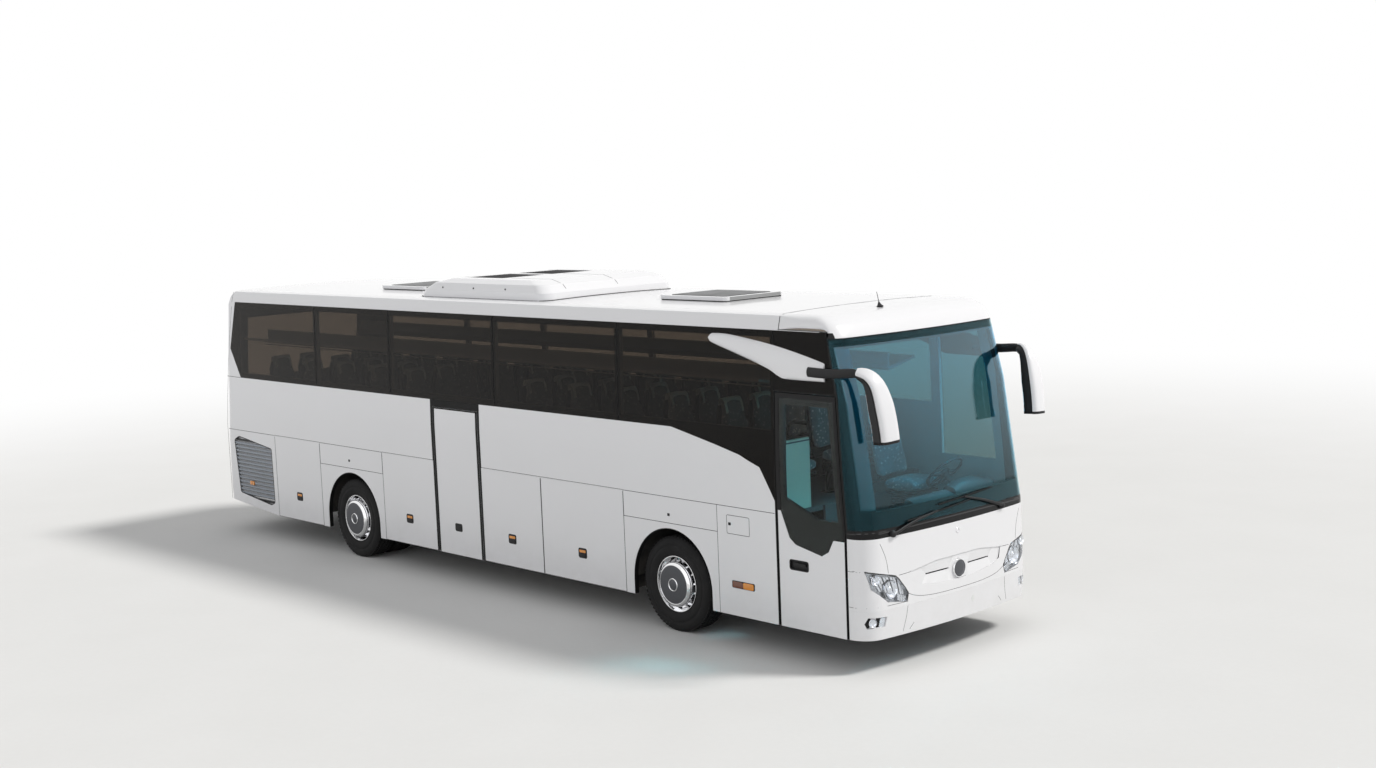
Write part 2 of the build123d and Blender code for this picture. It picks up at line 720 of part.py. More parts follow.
with BuildPart() as cabin_floor:
    with BuildSketch(Plane.XY.offset(floor_top_z - floor_plate)):
        with Locations(((cabin_rear_x + cabin_front_x) / 2, 0)):
            Rectangle(cabin_front_x - cabin_rear_x, 2 * floor_half)
        with Locations(((middle_door_rear_x + middle_door_front_x) / 2, (middle_well_y - half_width) / 2)):
            Rectangle(well_length, half_width + middle_well_y, mode=Mode.SUBTRACT)
    extrude(amount=floor_plate)
    for side in (-1, 1):
        with BuildSketch(Plane.YZ.offset(cabin_rear_x)):
            with BuildLine():
                Polyline((side * (floor_half - duct_width), floor_top_z), (side * floor_half, floor_top_z),
                         (side * floor_half, duct_low_z), (side * wall_seat, duct_low_z),
                         (side * wall_seat, duct_top_z), (side * (floor_half - duct_width), duct_top_z),
                         close=True)
            make_face()
        extrude(amount=cabin_front_x - cabin_rear_x)
    with BuildSketch(Plane.XY.offset(floor_top_z)):
        with Locations(((middle_door_rear_x + middle_door_front_x) / 2, -half_width + duct_width)):
            Rectangle(well_length, 4 * duct_width)
    extrude(amount=duct_top_z - floor_top_z, mode=Mode.SUBTRACT)
    with BuildSketch(Plane.XY.offset(driver_floor_z - floor_plate)):
        with Locations(((cabin_front_x + nose_seam_x) / 2, (floor_half + platform_y) / 2)):
            Rectangle(nose_seam_x - cabin_front_x, floor_half - platform_y)
    extrude(amount=floor_plate)
    with BuildSketch(Plane.YZ.offset(cabin_front_x)):
        with Locations(((floor_half + platform_y) / 2, (floor_top_z + driver_floor_z - floor_plate) / 2)):
            Rectangle(floor_half - platform_y, floor_top_z - driver_floor_z + floor_plate)
    extrude(amount=tread_plate)
    partition_low_z = front_step_z[0] - tread_plate
    with BuildSketch(Plane.YZ.offset(cabin_front_x)):
        with Locations(((well_back_y - floor_half) / 2, (partition_top_z + partition_low_z) / 2)):
            Rectangle(well_back_y + floor_half, partition_top_z - partition_low_z)
    extrude(amount=-tread_plate)
    for section in stair_sections(front_step_z, tread_depth, driver_floor_z):
        with BuildSketch(Plane.YZ.offset(cabin_front_x)):
            with BuildLine():
                Polyline(*section, close=True)
            make_face()
        extrude(amount=steps_front_x - cabin_front_x)
store(cabin_floor.part, "cabin_floor")

# Middle stairwell, hung in the floor's opening
well_depth = (floor_half + middle_well_y - seat_gap) / len(middle_steps)
with BuildPart() as middle_stairs:
    for section in stair_sections(middle_steps, well_depth, floor_top_z):
        with BuildSketch(Plane.YZ.offset(middle_door_rear_x + seat_gap)):
            with BuildLine():
                Polyline(*section, close=True)
            make_face()
        extrude(amount=well_length - 2 * seat_gap)
store(middle_stairs.part, "middle_stairs")

# Underframe: hold floor, bulkheads, rails and cross members
rail_y = half_width - 835
rail_width = 80
rail_low_z = 700
rail_height = 160
cross_member = 80
bulkhead = 40
floor_under_z = floor_top_z - floor_plate
hold_rear_x = seam_c_x + 20
hold_front_x = seam_e_x - 20
frame_rear_x = rear_x + 330
frame_front_x = front_x - 500
jack_pad_length = 120
jack_pad_drop = 20
JACK_STATIONS = (axle_front_x + 1300, axle_rear_x - 1410)
with BuildPart() as underframe:
    with BuildSketch(Plane.XY.offset(hold_floor_z - hold_plate)):
        with Locations(((hold_rear_x + hold_front_x) / 2, 0)):
            Rectangle(hold_front_x - hold_rear_x, 2 * floor_half)
    extrude(amount=hold_plate)
    for station in (hold_rear_x, hold_front_x - bulkhead):
        with BuildSketch(Plane.XY.offset(hold_floor_z)):
            with Locations((station + bulkhead / 2, 0)):
                Rectangle(bulkhead, 2 * floor_half)
        extrude(amount=floor_under_z - hold_floor_z)
    for side in (-1, 1):
        with BuildSketch(Plane.XY.offset(rail_low_z)):
            with Locations(((frame_rear_x + hold_rear_x) / 2, side * rail_y)):
                Rectangle(hold_rear_x - frame_rear_x, rail_width)
            with Locations(((hold_front_x + frame_front_x) / 2, side * rail_y)):
                Rectangle(frame_front_x - hold_front_x, rail_width)
        extrude(amount=rail_height)
        with BuildSketch(Plane.XY.offset(rail_low_z)):
            for station in JACK_STATIONS:
                with Locations((station, side * rail_y)):
                    Rectangle(jack_pad_length, rail_width)
        extrude(amount=-jack_pad_drop)
    for station in (frame_rear_x + cross_member / 2, axle_rear_x - 900,
                    axle_front_x + 900, frame_front_x - cross_member / 2):
        with BuildSketch(Plane.XY.offset(rail_low_z + 30)):
            with Locations((station, 0)):
                Rectangle(cross_member, 2 * rail_y)
        extrude(amount=rail_height - 60)
store(underframe.part, "underframe")

# Wheel tubs
with BuildPart() as wheel_tubs:
    for station in (axle_front_x, axle_rear_x):
        for side in (-1, 1):
            y_near, y_far = sorted((side * tub_inner_y, side * wall_seat))
            with BuildSketch(Plane.XZ.offset(-y_far)):
                with Locations((station, tyre_radius)):
                    Circle(tub_radius + tub_plate)
                    Circle(tub_radius, mode=Mode.SUBTRACT)
                with Locations((station, 0)):
                    Rectangle(3 * tub_radius, 2 * tyre_radius, mode=Mode.SUBTRACT)
            extrude(amount=y_far - y_near)
store(wheel_tubs.part, "wheel_tubs")

# Engine at the tail, between the rails
engine_low_z = 560
engine_height = 640
engine_length = 1250
engine_x = rear_x + 1050
with BuildPart() as engine:
    with BuildSketch(Plane.XY.offset(engine_low_z)):
        with Locations((engine_x, 0)):
            Rectangle(engine_length, 2 * rail_y - rail_width)
    extrude(amount=engine_height)
store(engine.part, "engine")


def wheel_ring(points, station_x):
    """Ring turned about the wheel axis, from (y, radius) points."""
    with BuildPart() as ring:
        with BuildSketch(Plane.YZ.offset(station_x)):
            with BuildLine():
                Polyline(*[(y, tyre_radius + r) for y, r in points], close=True)
            make_face()
        revolve(axis=Axis((station_x, 0, tyre_radius), (0, 1, 0)), revolution_arc=360)
    return ring.part


def tyre_profile(centre_y, side):
    """Outline of one tyre's section."""
    half = tyre_width / 2
    bead = bead_radius + seat_gap
    flange = rim_flange_radius + seat_gap
    shape = ((-half + bead_seat, bead), (-half + bead_seat, flange), (-half + 8, 330),
             (-half, 400), (-half + 14, 480), (-half + 40, tyre_radius),
             (half - 40, tyre_radius), (half - 14, 480), (half, 400), (half - 8, 330),
             (half - bead_seat, flange), (half - bead_seat, bead))
    return tuple((side * (centre_y + a), r) for a, r in shape)


# Round cover that stands on an outer hub: a plate with its edge turned back and a raised cap ring
cover_radius = 243
cover_plate = 14
cover_back = 155
cover_edge = 44
cap_radius = 70
cap_rise = 10
rim_bore = spindle_radius + spindle_clearance
cover_face = cover_back + cover_plate
COVER = (
    (cover_back, 100), (cover_back, cover_radius - cover_plate),
    (cover_face - cover_edge, cover_radius - cover_plate), (cover_face - cover_edge, cover_radius),
    (cover_face, cover_radius), (cover_face, cap_radius), (cover_face + cap_rise, cap_radius),
    (cover_face + cap_rise, rim_bore),
)
INNER_HUB = ((170, 100), (170, rim_bore))


def rim_profile(centre_y, side, disc_offset, hub_in, hub_end):
    """Outline of one rim's section with its disc and hub, which ends in the shape given."""
    half = tyre_width / 2 - bead_seat + seat_gap
    well = bead_radius - rim_thickness
    shape = (
        (-half - 12, rim_flange_radius), (-half, rim_flange_radius), (-half, bead_radius),
        (half, bead_radius), (half, rim_flange_radius), (half + 12, rim_flange_radius),
        (half + 12, well), (disc_offset + 16, well), (disc_offset + 16, 110),
    ) + hub_end + (
        (hub_in, rim_bore), (hub_in, 100), (disc_offset, 110), (disc_offset, well), (-half - 12, well),
    )
    return tuple((side * (centre_y + a), r) for a, r in shape)


for side, name in ((-1, "right"), (1, "left")):
    store(wheel_ring(tyre_profile(wheel_centre_y, side), axle_front_x), f"tyre_front_{name}")
    store(wheel_ring(rim_profile(wheel_centre_y, side, 40, -60, COVER), axle_front_x), f"rim_front_{name}")
    outer_tyre = wheel_ring(tyre_profile(wheel_centre_y, side), axle_rear_x)
    inner_tyre = wheel_ring(tyre_profile(twin_inner_y, side), axle_rear_x)
    with BuildPart() as twin_tyres:
        add(outer_tyre)
        add(inner_tyre)
    store(twin_tyres.part, f"tyre_rear_{name}")
    outer_rim = wheel_ring(rim_profile(wheel_centre_y, side, -110, -170, COVER), axle_rear_x)
    inner_rim = wheel_ring(rim_profile(twin_inner_y, side, 94, 60, INNER_HUB), axle_rear_x)
    with BuildPart() as twin_rims:
        add(outer_rim)
        add(inner_rim)
    store(twin_rims.part, f"rim_rear_{name}")

# Knuckles: kingpin and stub axle for each front wheel
kingpin_radius = 30
kingpin_half = 150
fork_plate = 35
for side, name in ((-1, "right"), (1, "left")):
    y_low, y_high = sorted((side * kingpin_y, side * (wheel_centre_y + spindle_reach)))
    with BuildPart() as knuckle:
        with BuildSketch(Plane.XY.offset(tyre_radius - kingpin_half)):
            with Locations((axle_front_x, side * kingpin_y)):
                Circle(kingpin_radius)
        extrude(amount=2 * kingpin_half)
        with BuildSketch(Plane.XZ.offset(-y_high)):
            with Locations((axle_front_x, tyre_radius)):
                Circle(spindle_radius)
        extrude(amount=y_high - y_low)
        with BuildSketch(Plane.XY.offset(tyre_radius - 90)):
            with Locations((axle_front_x, side * kingpin_y)):
                Circle(60)
        extrude(amount=180)
    store(knuckle.part, f"knuckle_{name}")

# Front axle beam with a fork for each kingpin and a seat under each rail
beam_depth = 110
with BuildPart() as front_axle:
    with BuildSketch(Plane.XZ.offset(-kingpin_y + 120)):
        with Locations((axle_front_x, tyre_radius)):
            Rectangle(beam_depth, 130)
    extrude(amount=2 * (kingpin_y - 120))
    for side in (-1, 1):
        y_low, y_high = sorted((side * (kingpin_y - 125), side * (kingpin_y - 90)))
        with BuildSketch(Plane.XZ.offset(-y_high)):
            with Locations((axle_front_x, tyre_radius)):
                Rectangle(beam_depth, 2 * kingpin_half - 20)
        extrude(amount=y_high - y_low)
        for z in (tyre_radius - kingpin_half + 10, tyre_radius + kingpin_half - 10 - fork_plate):
            with BuildSketch(Plane.XY.offset(z)):
                with Locations((axle_front_x, side * (kingpin_y - 50))):
                    Rectangle(beam_depth, 150)
                with Locations((axle_front_x, side * kingpin_y)):
                    Circle(kingpin_radius + spindle_clearance, mode=Mode.SUBTRACT)
            extrude(amount=fork_plate)
        with BuildSketch(Plane.XY.offset(tyre_radius)):
            with Locations((axle_front_x, side * rail_y)):
                Rectangle(beam_depth, rail_width)
        extrude(amount=rail_low_z - tyre_radius)
store(front_axle.part, "front_axle")

# Rear axle with its final drive and a seat under each rail
with BuildPart() as rear_axle:
    with BuildSketch(Plane.XZ.offset(-wheel_centre_y - spindle_reach)):
        with Locations((axle_rear_x, tyre_radius)):
            Circle(spindle_radius)
    extrude(amount=2 * (wheel_centre_y + spindle_reach))
    with BuildSketch(Plane.XZ.offset(-540)):
        with Locations((axle_rear_x, tyre_radius)):
            Circle(85)
    extrude(amount=1080)
    with BuildSketch(Plane.XZ.offset(-160)):
        with Locations((axle_rear_x, tyre_radius)):
            Circle(185)
    extrude(amount=320)
    for side in (-1, 1):
        with BuildSketch(Plane.XY.offset(tyre_radius)):
            with Locations((axle_rear_x, side * rail_y)):
                Rectangle(140, rail_width)
        extrude(amount=rail_low_z - tyre_radius)
store(rear_axle.part, "rear_axle")

# Seats: each pair is one shape on its pedestal
seat_pitch = 810
seat_width = 900
seat_wall_gap = 25
cushion_top = 440
seat_length = 660
with BuildPart() as seat_pair:
    with BuildSketch(Plane.XZ):
        with BuildLine():
            Polyline((0, 0), (-330, 0), (-330, 290), (-450, 290), (-500, 420), (-640, 1130), (-560, 1150),
                     (-430, 560), (-380, cushion_top), (30, cushion_top + 20), (40, 330), (0, 290),
                     close=True)
        make_face()
    extrude(amount=seat_width / 2, both=True)
seat_y = floor_half - duct_width - seat_wall_gap - seat_width / 2
first_seat_x = axle_front_x + 1150
seat_rows = 1 + int((first_seat_x - seat_length - cabin_rear_x - seat_wall_gap) // seat_pitch)
well_margin = 60
seat_places = []
for row in range(seat_rows):
    x = first_seat_x - row * seat_pitch
    seat_places.append((x, seat_y))
    if x < middle_door_rear_x - well_margin or x - seat_length > middle_door_front_x + well_margin:
        seat_places.append((x, -seat_y))
with BuildPart() as passenger_seats:
    for x, y in seat_places:
        add(seat_pair.part.moved(Location((x, y, floor_top_z))))
store(passenger_seats.part, "passenger_seats")

driver_seat_x = axle_front_x + 1900
driver_y = half_width - 655
with BuildPart() as driver_seat:
    with BuildSketch(Plane.XZ.offset(-driver_y)):
        with BuildLine():
            Polyline((-60, 0), (-360, 0), (-360, 300), (-450, 320), (-620, 1050), (-530, 1080), (-400, 500),
                     (-360, cushion_top), (40, cushion_top + 20), (50, 340), (-60, 300), close=True)
        make_face()
    extrude(amount=260, both=True)
store(driver_seat.part.moved(Location((driver_seat_x, 0, driver_floor_z))), "driver_seat")

# Dashboard across the nose, on the platform
dash_top_z = 1540
dash_back_x = nose_seam_x - 120
dash_front_x = nose_seam_x + 130
dash_far_y = half_width - 375
with BuildPart() as dashboard:
    with BuildSketch(Plane.XZ.offset(-dash_far_y)):
        with BuildLine():
            Polyline((nose_seam_x - 60, driver_floor_z), (dash_back_x, 1380), (dash_back_x, 1440),
                     (nose_seam_x - 60, dash_top_z), (dash_front_x, dash_top_z - 60),
                     (dash_front_x, driver_floor_z + 150), (nose_seam_x, driver_floor_z), close=True)
        make_face()
    extrude(amount=dash_far_y - platform_y)
store(dashboard.part, "dashboard")

# Steering wheel: rim, two spokes and a boss on a column that meets the dashboard's back edge
steer_radius = 225
steer_grip = 30
column_radius = 35
steer_plane = Plane(origin=(dash_back_x - 200, driver_y, 1640), x_dir=(0, 1, 0), z_dir=(-1, 0, 1))
dash_face = block_between((dash_back_x - seat_gap, 0, driver_floor_z), (front_x, half_width, 2000))
with BuildPart() as steering_wheel:
    with BuildSketch(steer_plane):
        Circle(steer_radius)
        Circle(steer_radius - steer_grip, mode=Mode.SUBTRACT)
    extrude(amount=steer_grip)
    with BuildSketch(steer_plane):
        Rectangle(2 * steer_radius - steer_grip, 40)
        Circle(70)
    extrude(amount=20)
    with BuildSketch(steer_plane):
        Circle(column_radius)
    extrude(amount=-330)
    add(dash_face, mode=Mode.SUBTRACT)
store(steering_wheel.part, "steering_wheel")


def inner_wall_y(z):
    """Distance from the middle to the face of the side wall inside the cabin, less the seating gap."""
    lean = tumblehome * max(0, z - upright_top_z) / (glass_top_z - upright_top_z)
    return wall_seat - lean


# Luggage racks along both sides under the roof, against the window pillars
rack_low_z = 2700
rack_depth = 440
rack_rear_x = cabin_rear_x + 300
with BuildPart() as luggage_racks:
    for side in (-1, 1):
        wall_low = (side * inner_wall_y(rack_low_z + 30), rack_low_z + 30)
        wall_high = (side * inner_wall_y(rack_low_z + 60), rack_low_z + 60)
        lip_y = side * (inner_wall_y(rack_low_z) - rack_depth)
        with BuildSketch(Plane.YZ.offset(rack_rear_x)):
            with BuildLine():
                Polyline(wall_low, (lip_y, rack_low_z - 60), (lip_y - side * 30, rack_low_z),
                         (lip_y - side * 10, rack_low_z + 130), (lip_y + side * 15, rack_low_z + 130),
                         (lip_y + side * 15, rack_low_z - 20), wall_high, close=True)
            make_face()
        extrude(amount=cabin_front_x - rack_rear_x)
store(luggage_racks.part, "luggage_racks")

# Air conditioning pod, fitted to the roof's crown
PodLevel = namedtuple("PodLevel", "above_crown rear front side_in corner")
POD_LEVELS = (
    PodLevel(-50, axle_front_x - 4800, axle_front_x - 2240, 275, 150),
    PodLevel(70, axle_front_x - 4700, axle_front_x - 2260, 280, 150),
    PodLevel(160, axle_front_x - 4520, axle_front_x - 2360, 315, 140),
    PodLevel(210, axle_front_x - 4250, axle_front_x - 2560, 395, 120),
)
pod_fan_depth = 14
pod_fan_width = 640
pod_fan_low_z = roof_crown_z + POD_LEVELS[-1].above_crown - pod_fan_depth
pod_fans = [block_between((axle_front_x - 4120, near, pod_fan_low_z),
                          (axle_front_x - 3420, near + pod_fan_width, roof_crown_z + 300))
            for near in (-60 - pod_fan_width, 60)]
with BuildPart() as roof_aircon:
    for level in POD_LEVELS:
        with BuildSketch(Plane.XY.offset(roof_crown_z + level.above_crown)):
            with Locations(((level.rear + level.front) / 2, 0)):
                RectangleRounded(level.front - level.rear, 2 * (half_width - level.side_in), level.corner)
    loft(ruled=True)
    add(pod_fans, mode=Mode.SUBTRACT)
    add(body_clear, mode=Mode.SUBTRACT)
store(roof_aircon.part, "roof_aircon")

# Mirrors: a blade along the glass, an arm that leaves it forward, and the shell that hangs from the arm
mirror_front_x = front_x + mirror_reach
blade_face_y = half_width - 3
arm_low_z = 2800
arm_high_z = 2880
BLADE = (
    (axle_front_x + 670, 3140), (axle_front_x + 685, 3180), (axle_front_x + 730, 3196),
    (axle_front_x + 970, 3190), (axle_front_x + 1480, 3120), (axle_front_x + 1850, 3050),
    (axle_front_x + 2180, 2980), (axle_front_x + 2210, 2895), (axle_front_x + 2250, 2790),
    (axle_front_x + 1950, 2780), (axle_front_x + 1750, 2785), (axle_front_x + 1620, 2812),
    (axle_front_x + 1470, 2880), (axle_front_x + 1100, 2985), (axle_front_x + 720, 3090),
)
ARM_PLAN = ((-810, 3), (-370, 3), (-170, 40), (-170, 90), (-370, 50), (-810, 43))
MirrorLevel = namedtuple("MirrorLevel", "z back centre_in length width corner")
MIRROR_LEVELS = (
    MirrorLevel(2250, 60, 130, 120, 205, 30),
    MirrorLevel(2300, 66, 130, 126, 220, 40),
    MirrorLevel(2600, 115, 115, 135, 200, 40),
    MirrorLevel(arm_low_z, 170, 85, 130, 130, 40),
    MirrorLevel(arm_high_z, 205, 65, 110, 80, 30),
)
for side, name in ((-1, "right"), (1, "left")):
    blade_low, blade_high = sorted((side * (half_width - 120), side * blade_face_y))
    with BuildPart() as mirror_piece:
        for level in MIRROR_LEVELS:
            with BuildSketch(Plane.XY.offset(level.z)):
                with Locations((mirror_front_x - level.back, side * (half_width - level.centre_in))):
                    RectangleRounded(level.length, level.width, level.corner)
        loft(ruled=True)
        with BuildSketch(Plane.XY.offset(arm_low_z)):
            with BuildLine():
                Polyline(*[(mirror_front_x + a, side * (half_width - b)) for a, b in ARM_PLAN], close=True)
            make_face()
        extrude(amount=arm_high_z - arm_low_z)
        add(side_region(BLADE, blade_low, blade_high))
        add(body_clear, mode=Mode.SUBTRACT)
    store(mirror_piece.part, f"mirror_{name}")
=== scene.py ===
import math

import bmesh
import bpy
import numpy as np
from bpy.props import FloatProperty, FloatVectorProperty, IntProperty, PointerProperty
from mathutils import Matrix, Vector
from mathutils.bvhtree import BVHTree


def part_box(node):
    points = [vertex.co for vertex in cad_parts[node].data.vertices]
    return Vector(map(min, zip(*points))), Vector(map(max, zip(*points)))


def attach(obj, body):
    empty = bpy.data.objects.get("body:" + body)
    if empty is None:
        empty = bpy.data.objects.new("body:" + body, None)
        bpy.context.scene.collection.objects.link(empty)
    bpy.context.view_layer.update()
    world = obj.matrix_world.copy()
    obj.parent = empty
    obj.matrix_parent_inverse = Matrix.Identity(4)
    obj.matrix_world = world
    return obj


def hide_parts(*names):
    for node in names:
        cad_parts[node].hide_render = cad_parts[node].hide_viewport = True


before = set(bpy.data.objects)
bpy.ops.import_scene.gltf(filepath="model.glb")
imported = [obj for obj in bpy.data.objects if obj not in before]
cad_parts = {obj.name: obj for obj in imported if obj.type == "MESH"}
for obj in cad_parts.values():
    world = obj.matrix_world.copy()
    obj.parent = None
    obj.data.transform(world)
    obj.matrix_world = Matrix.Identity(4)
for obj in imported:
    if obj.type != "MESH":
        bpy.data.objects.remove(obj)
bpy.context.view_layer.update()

bl_info = {
    "name": "Touring coach dressing",
    "version": (1, 0, 0),
    "blender": (4, 5, 0),
    "location": "View3D > Sidebar > Coach",
    "description": "Finishes, glass, wheels, trim, lamps and seats of a touring coach on its packed frame",
    "category": "Object",
}


# Places read from the frame
def middle(node):
    """Centre of a CAD node's box."""
    low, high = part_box(node)
    return (low + high) / 2


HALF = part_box("front_bumper")[1].y
FRONT_HUB = middle("tyre_front_right")
REAR_HUB = middle("tyre_rear_right")
# Measures that several pieces share, in metres
UPRIGHT_TOP = 1.9
GLASS_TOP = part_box("side_glass_right")[1].z
FASCIA_TOP = 3.395
SILL = 2.198
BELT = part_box("flap_right_service")[1].z
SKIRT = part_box("flap_right_service")[0].z
LEAN = 0.04
FASCIA_LEAN = 0.035
ARCH_RADIUS = 0.605
TYRE_RADIUS = 0.506
TYRE_INSET = 0.189
TWIN_SPACING = 0.34
NOSE_SEAM = 5.662
CAP_SEAMS = (-5.77, 4.82)
PANE_JOINTS = (-3.62, -1.9, 0.24, 2.43)
REAR_PANEL = (-3.633, -2.166)
FRONT_PANEL = (2.466, 3.91)
SHELF = 1.17
MIDDLE_LOCK = (-0.58, 0.67)
BADGE_Z = 0.845
PIN_Z = 1.223
PARTITION_X = 4.5
LINE_LIFT = 0.0006
WELD = 1e-5
STAIRS = (-1.075, -0.04)
SEAT_DEPTH = 0.66
SEAT_PITCH = 0.81
DOOR_EDGE = ((5.5, -1.4, 0.2), (5.672, -1.2, 1.4))
# Names, directions, the angle of a sharp edge in degrees, a count and a colour
SIDES = ((-1, "right"), (1, "left"))
WHEELS = ("front_right", "front_left", "rear_right", "rear_left")
AHEAD = Vector((1, 0, 0))
UP = Vector((0, 0, 1))
SHARP = 38
SEAT_ROWS = 12
DARK_INNER = (0.02, 0.021, 0.022)


# Faces of the body, on which pieces are placed by two coordinates
def side_y(z):
    """Half the body's width at one height."""
    lean = LEAN * min(max(z - UPRIGHT_TOP, 0), GLASS_TOP - UPRIGHT_TOP) / (GLASS_TOP - UPRIGHT_TOP)
    return HALF - lean - FASCIA_LEAN * min(max(z - GLASS_TOP, 0) / (FASCIA_TOP - GLASS_TOP), 1)


class SideFace:
    """One long side of the body, placed by (x, z)."""

    def __init__(self, side):
        self.side = side

    def at(self, u, v, lift=0.0):
        return Vector((u, self.side * (side_y(v) + lift), v))

    def out(self, u, v):
        return Vector((0, self.side, 0))


class DropFace:
    """Outside of some nodes: a place is carried along a direction until it meets them."""

    def __init__(self, nodes, aim):
        mesh = bmesh.new()
        for node in nodes:
            mesh.from_mesh(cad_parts[node].data)
        self.tree = BVHTree.FromBMesh(mesh)
        mesh.free()
        self.aim = aim

    def meet(self, u, v):
        start, way = self.aim(u, v)
        hit, normal, _, _ = self.tree.ray_cast(start, way)
        if hit is None:
            hit, normal, _, _ = self.tree.find_nearest(start + way * 2)
        if normal.dot(way) > 0:
            normal = -normal
        return hit, normal

    def at(self, u, v, lift=0.0):
        hit, normal = self.meet(u, v)
        return hit + normal * lift

    def out(self, u, v):
        return self.meet(u, v)[1]


def aim_round_nose(u, v):
    """From outside towards the cab's middle, at an angle u in degrees and a height v."""
    turn = math.radians(u)
    way = Vector((-math.cos(turn), -math.sin(turn), 0))
    return Vector((4.6, 0, v)) - way * 4, way


def aim_down(u, v):
    """From above, straight down."""
    return Vector((u, v, 5)), Vector((0, 0, -1))


NOSE_NODES = ("front_mask", "front_bumper", "windscreen", "front_lamps")
TAIL_NODES = ("rear_wall", "rear_window", "engine_lid", "tail_lamps")
SIDE = {side: SideFace(side) for side, _ in SIDES}
NOSE = DropFace(NOSE_NODES, lambda u, v: (Vector((8, u, v)), Vector((-1, 0, 0))))
CORNER = DropFace(NOSE_NODES, aim_round_nose)
TAIL = DropFace(TAIL_NODES, lambda u, v: (Vector((-8, u, v)), AHEAD))
ROOF = DropFace(("roof", "front_mask", "rear_wall"), aim_down)


# Finishes by short name, filled by the finishes operator
PAINT = {}


# Mesh building
def join_rings(bm, rings, around=True, along=False, caps=False):
    """Faces between rings of points with equal counts."""
    rows = [[bm.verts.new(point) for point in ring] for ring in rings]
    count = len(rows[0])
    for i in range(len(rows) if along else len(rows) - 1):
        near, far = rows[i], rows[(i + 1) % len(rows)]
        for j in range(count if around else count - 1):
            k = (j + 1) % count
            bm.faces.new((near[j], near[k], far[k], far[j]))
    if caps:
        bm.faces.new(rows[0])
        bm.faces.new(rows[-1])


def lathe(bm, profile, centre, steps=96, closed=False, side=1):
    """Ring turned about an axis along Y, from (distance out from the centre, radius) points."""
    rings = []
    for i in range(steps):
        turn = math.tau * i / steps
        sine, cosine = math.sin(turn), math.cos(turn)
        rings.append([Vector((centre.x + r * sine, centre.y + side * y, centre.z + r * cosine))
            for y, r in profile])
    join_rings(bm, rings, around=closed, along=True)


def spin_about(bm, profile, centre, axis, steps=48):
    """Bowl or boss turned about any axis, from (distance along it, radius) points."""
    turn = axis.normalized().to_track_quat("Z", "Y").to_matrix()
    rings = []
    for i in range(steps):
        a = math.tau * i / steps
        rings.append([centre + turn @ Vector((r * math.cos(a), r * math.sin(a), h)) for h, r in profile])
    join_rings(bm, rings, around=False, along=True)


def new_mesh(name, bm):
    """Mesh from a mesh under construction, which is then freed."""
    mesh = bpy.data.meshes.new(name)
    bm.to_mesh(mesh)
    bm.free()
    return mesh


def new_object(name, data):
    """Object linked into the scene."""
    made = bpy.data.objects.new(name, data)
    bpy.context.scene.collection.objects.link(made)
    return made


def merge(bm, other):
    """Move the faces of one mesh into another."""
    mesh = new_mesh("loose", other)
    bm.from_mesh(mesh)
    bpy.data.meshes.remove(mesh)


def slab(bm, low, high, bevel=0.004, turn=None):
    """Block with softened edges between two corners, turned about its own centre."""
    low, high = Vector(low), Vector(high)
    block = bmesh.new()
    bmesh.ops.create_cube(block, size=1)
    for v in block.verts:
        v.co = Vector(a * b for a, b in zip(v.co, high - low))
    bmesh.ops.bevel(block, geom=list(block.edges), offset=bevel, segments=2, profile=0.6, affect="EDGES")
    centre = (low + high) / 2
    for v in block.verts:
        v.co = centre + (turn @ v.co if turn else v.co)
    merge(bm, block)


def dense(path, step=0.1):
    """Points added along straight runs, so that a strip follows a curved face."""
    points = []
    for (u0, v0), (u1, v1) in zip(path, path[1:]):
        count = max(1, int(math.hypot(u1 - u0, v1 - v0) / step))
        points += [(u0 + (u1 - u0) * i / count, v0 + (v1 - v0) * i / count) for i in range(count)]
    return points + [path[-1]]


def rounded(outline, radius, steps=5):
    """Outline with its corners rounded."""
    points = []
    count = len(outline)
    for i in range(count):
        before, here, after = (Vector(outline[j % count]) for j in (i - 1, i, i + 1))
        back, on = (before - here), (after - here)
        reach = min(radius, back.length * 0.48, on.length * 0.48)
        start, end = here + back.normalized() * reach, here + on.normalized() * reach
        for s in range(steps + 1):
            t = s / steps
            points.append(tuple(start * (1 - t) ** 2 + here * 2 * t * (1 - t) + end * t ** 2))
    return points


def smooth_path(path, steps=6):
    """Curve through a few points, as a path of short runs."""
    points = []
    count = len(path)
    for i in range(count - 1):
        a, b, c, d = (Vector(path[min(max(j, 0), count - 1)]) for j in (i - 1, i, i + 1, i + 2))
        for s in range(steps):
            t = s / steps
            points.append(tuple(0.5 * (2 * b + (c - a) * t + (2 * a - 5 * b + 4 * c - d) * t * t
                + (3 * b - a - 3 * c + d) * t ** 3)))
    return points + [tuple(path[-1])]


def full(value, power):
    """Sine or cosine made fuller, which squares a ring off."""
    return math.copysign(abs(value) ** power, value)


def box_outline(centre, width, height):
    """Corners of a rectangle round a centre."""
    u, v = centre
    return [(u - width / 2, v - height / 2), (u + width / 2, v - height / 2),
        (u + width / 2, v + height / 2), (u - width / 2, v + height / 2)]


def mirrored(outline, side):
    """Outline given for the right side, on either side of the nose."""
    return [(y * -side, z) for y, z in outline]


def inset(low, high, dx, dy):
    """Corners of a box seen from above, moved in."""
    return [(low.x + dx, low.y + dy), (high.x - dx, low.y + dy), (high.x - dx, high.y - dy),
        (low.x + dx, high.y - dy)]


def soft_box(centre, width, height, radius):
    """Rectangle round a centre with rounded corners."""
    return rounded(box_outline(centre, width, height), radius)


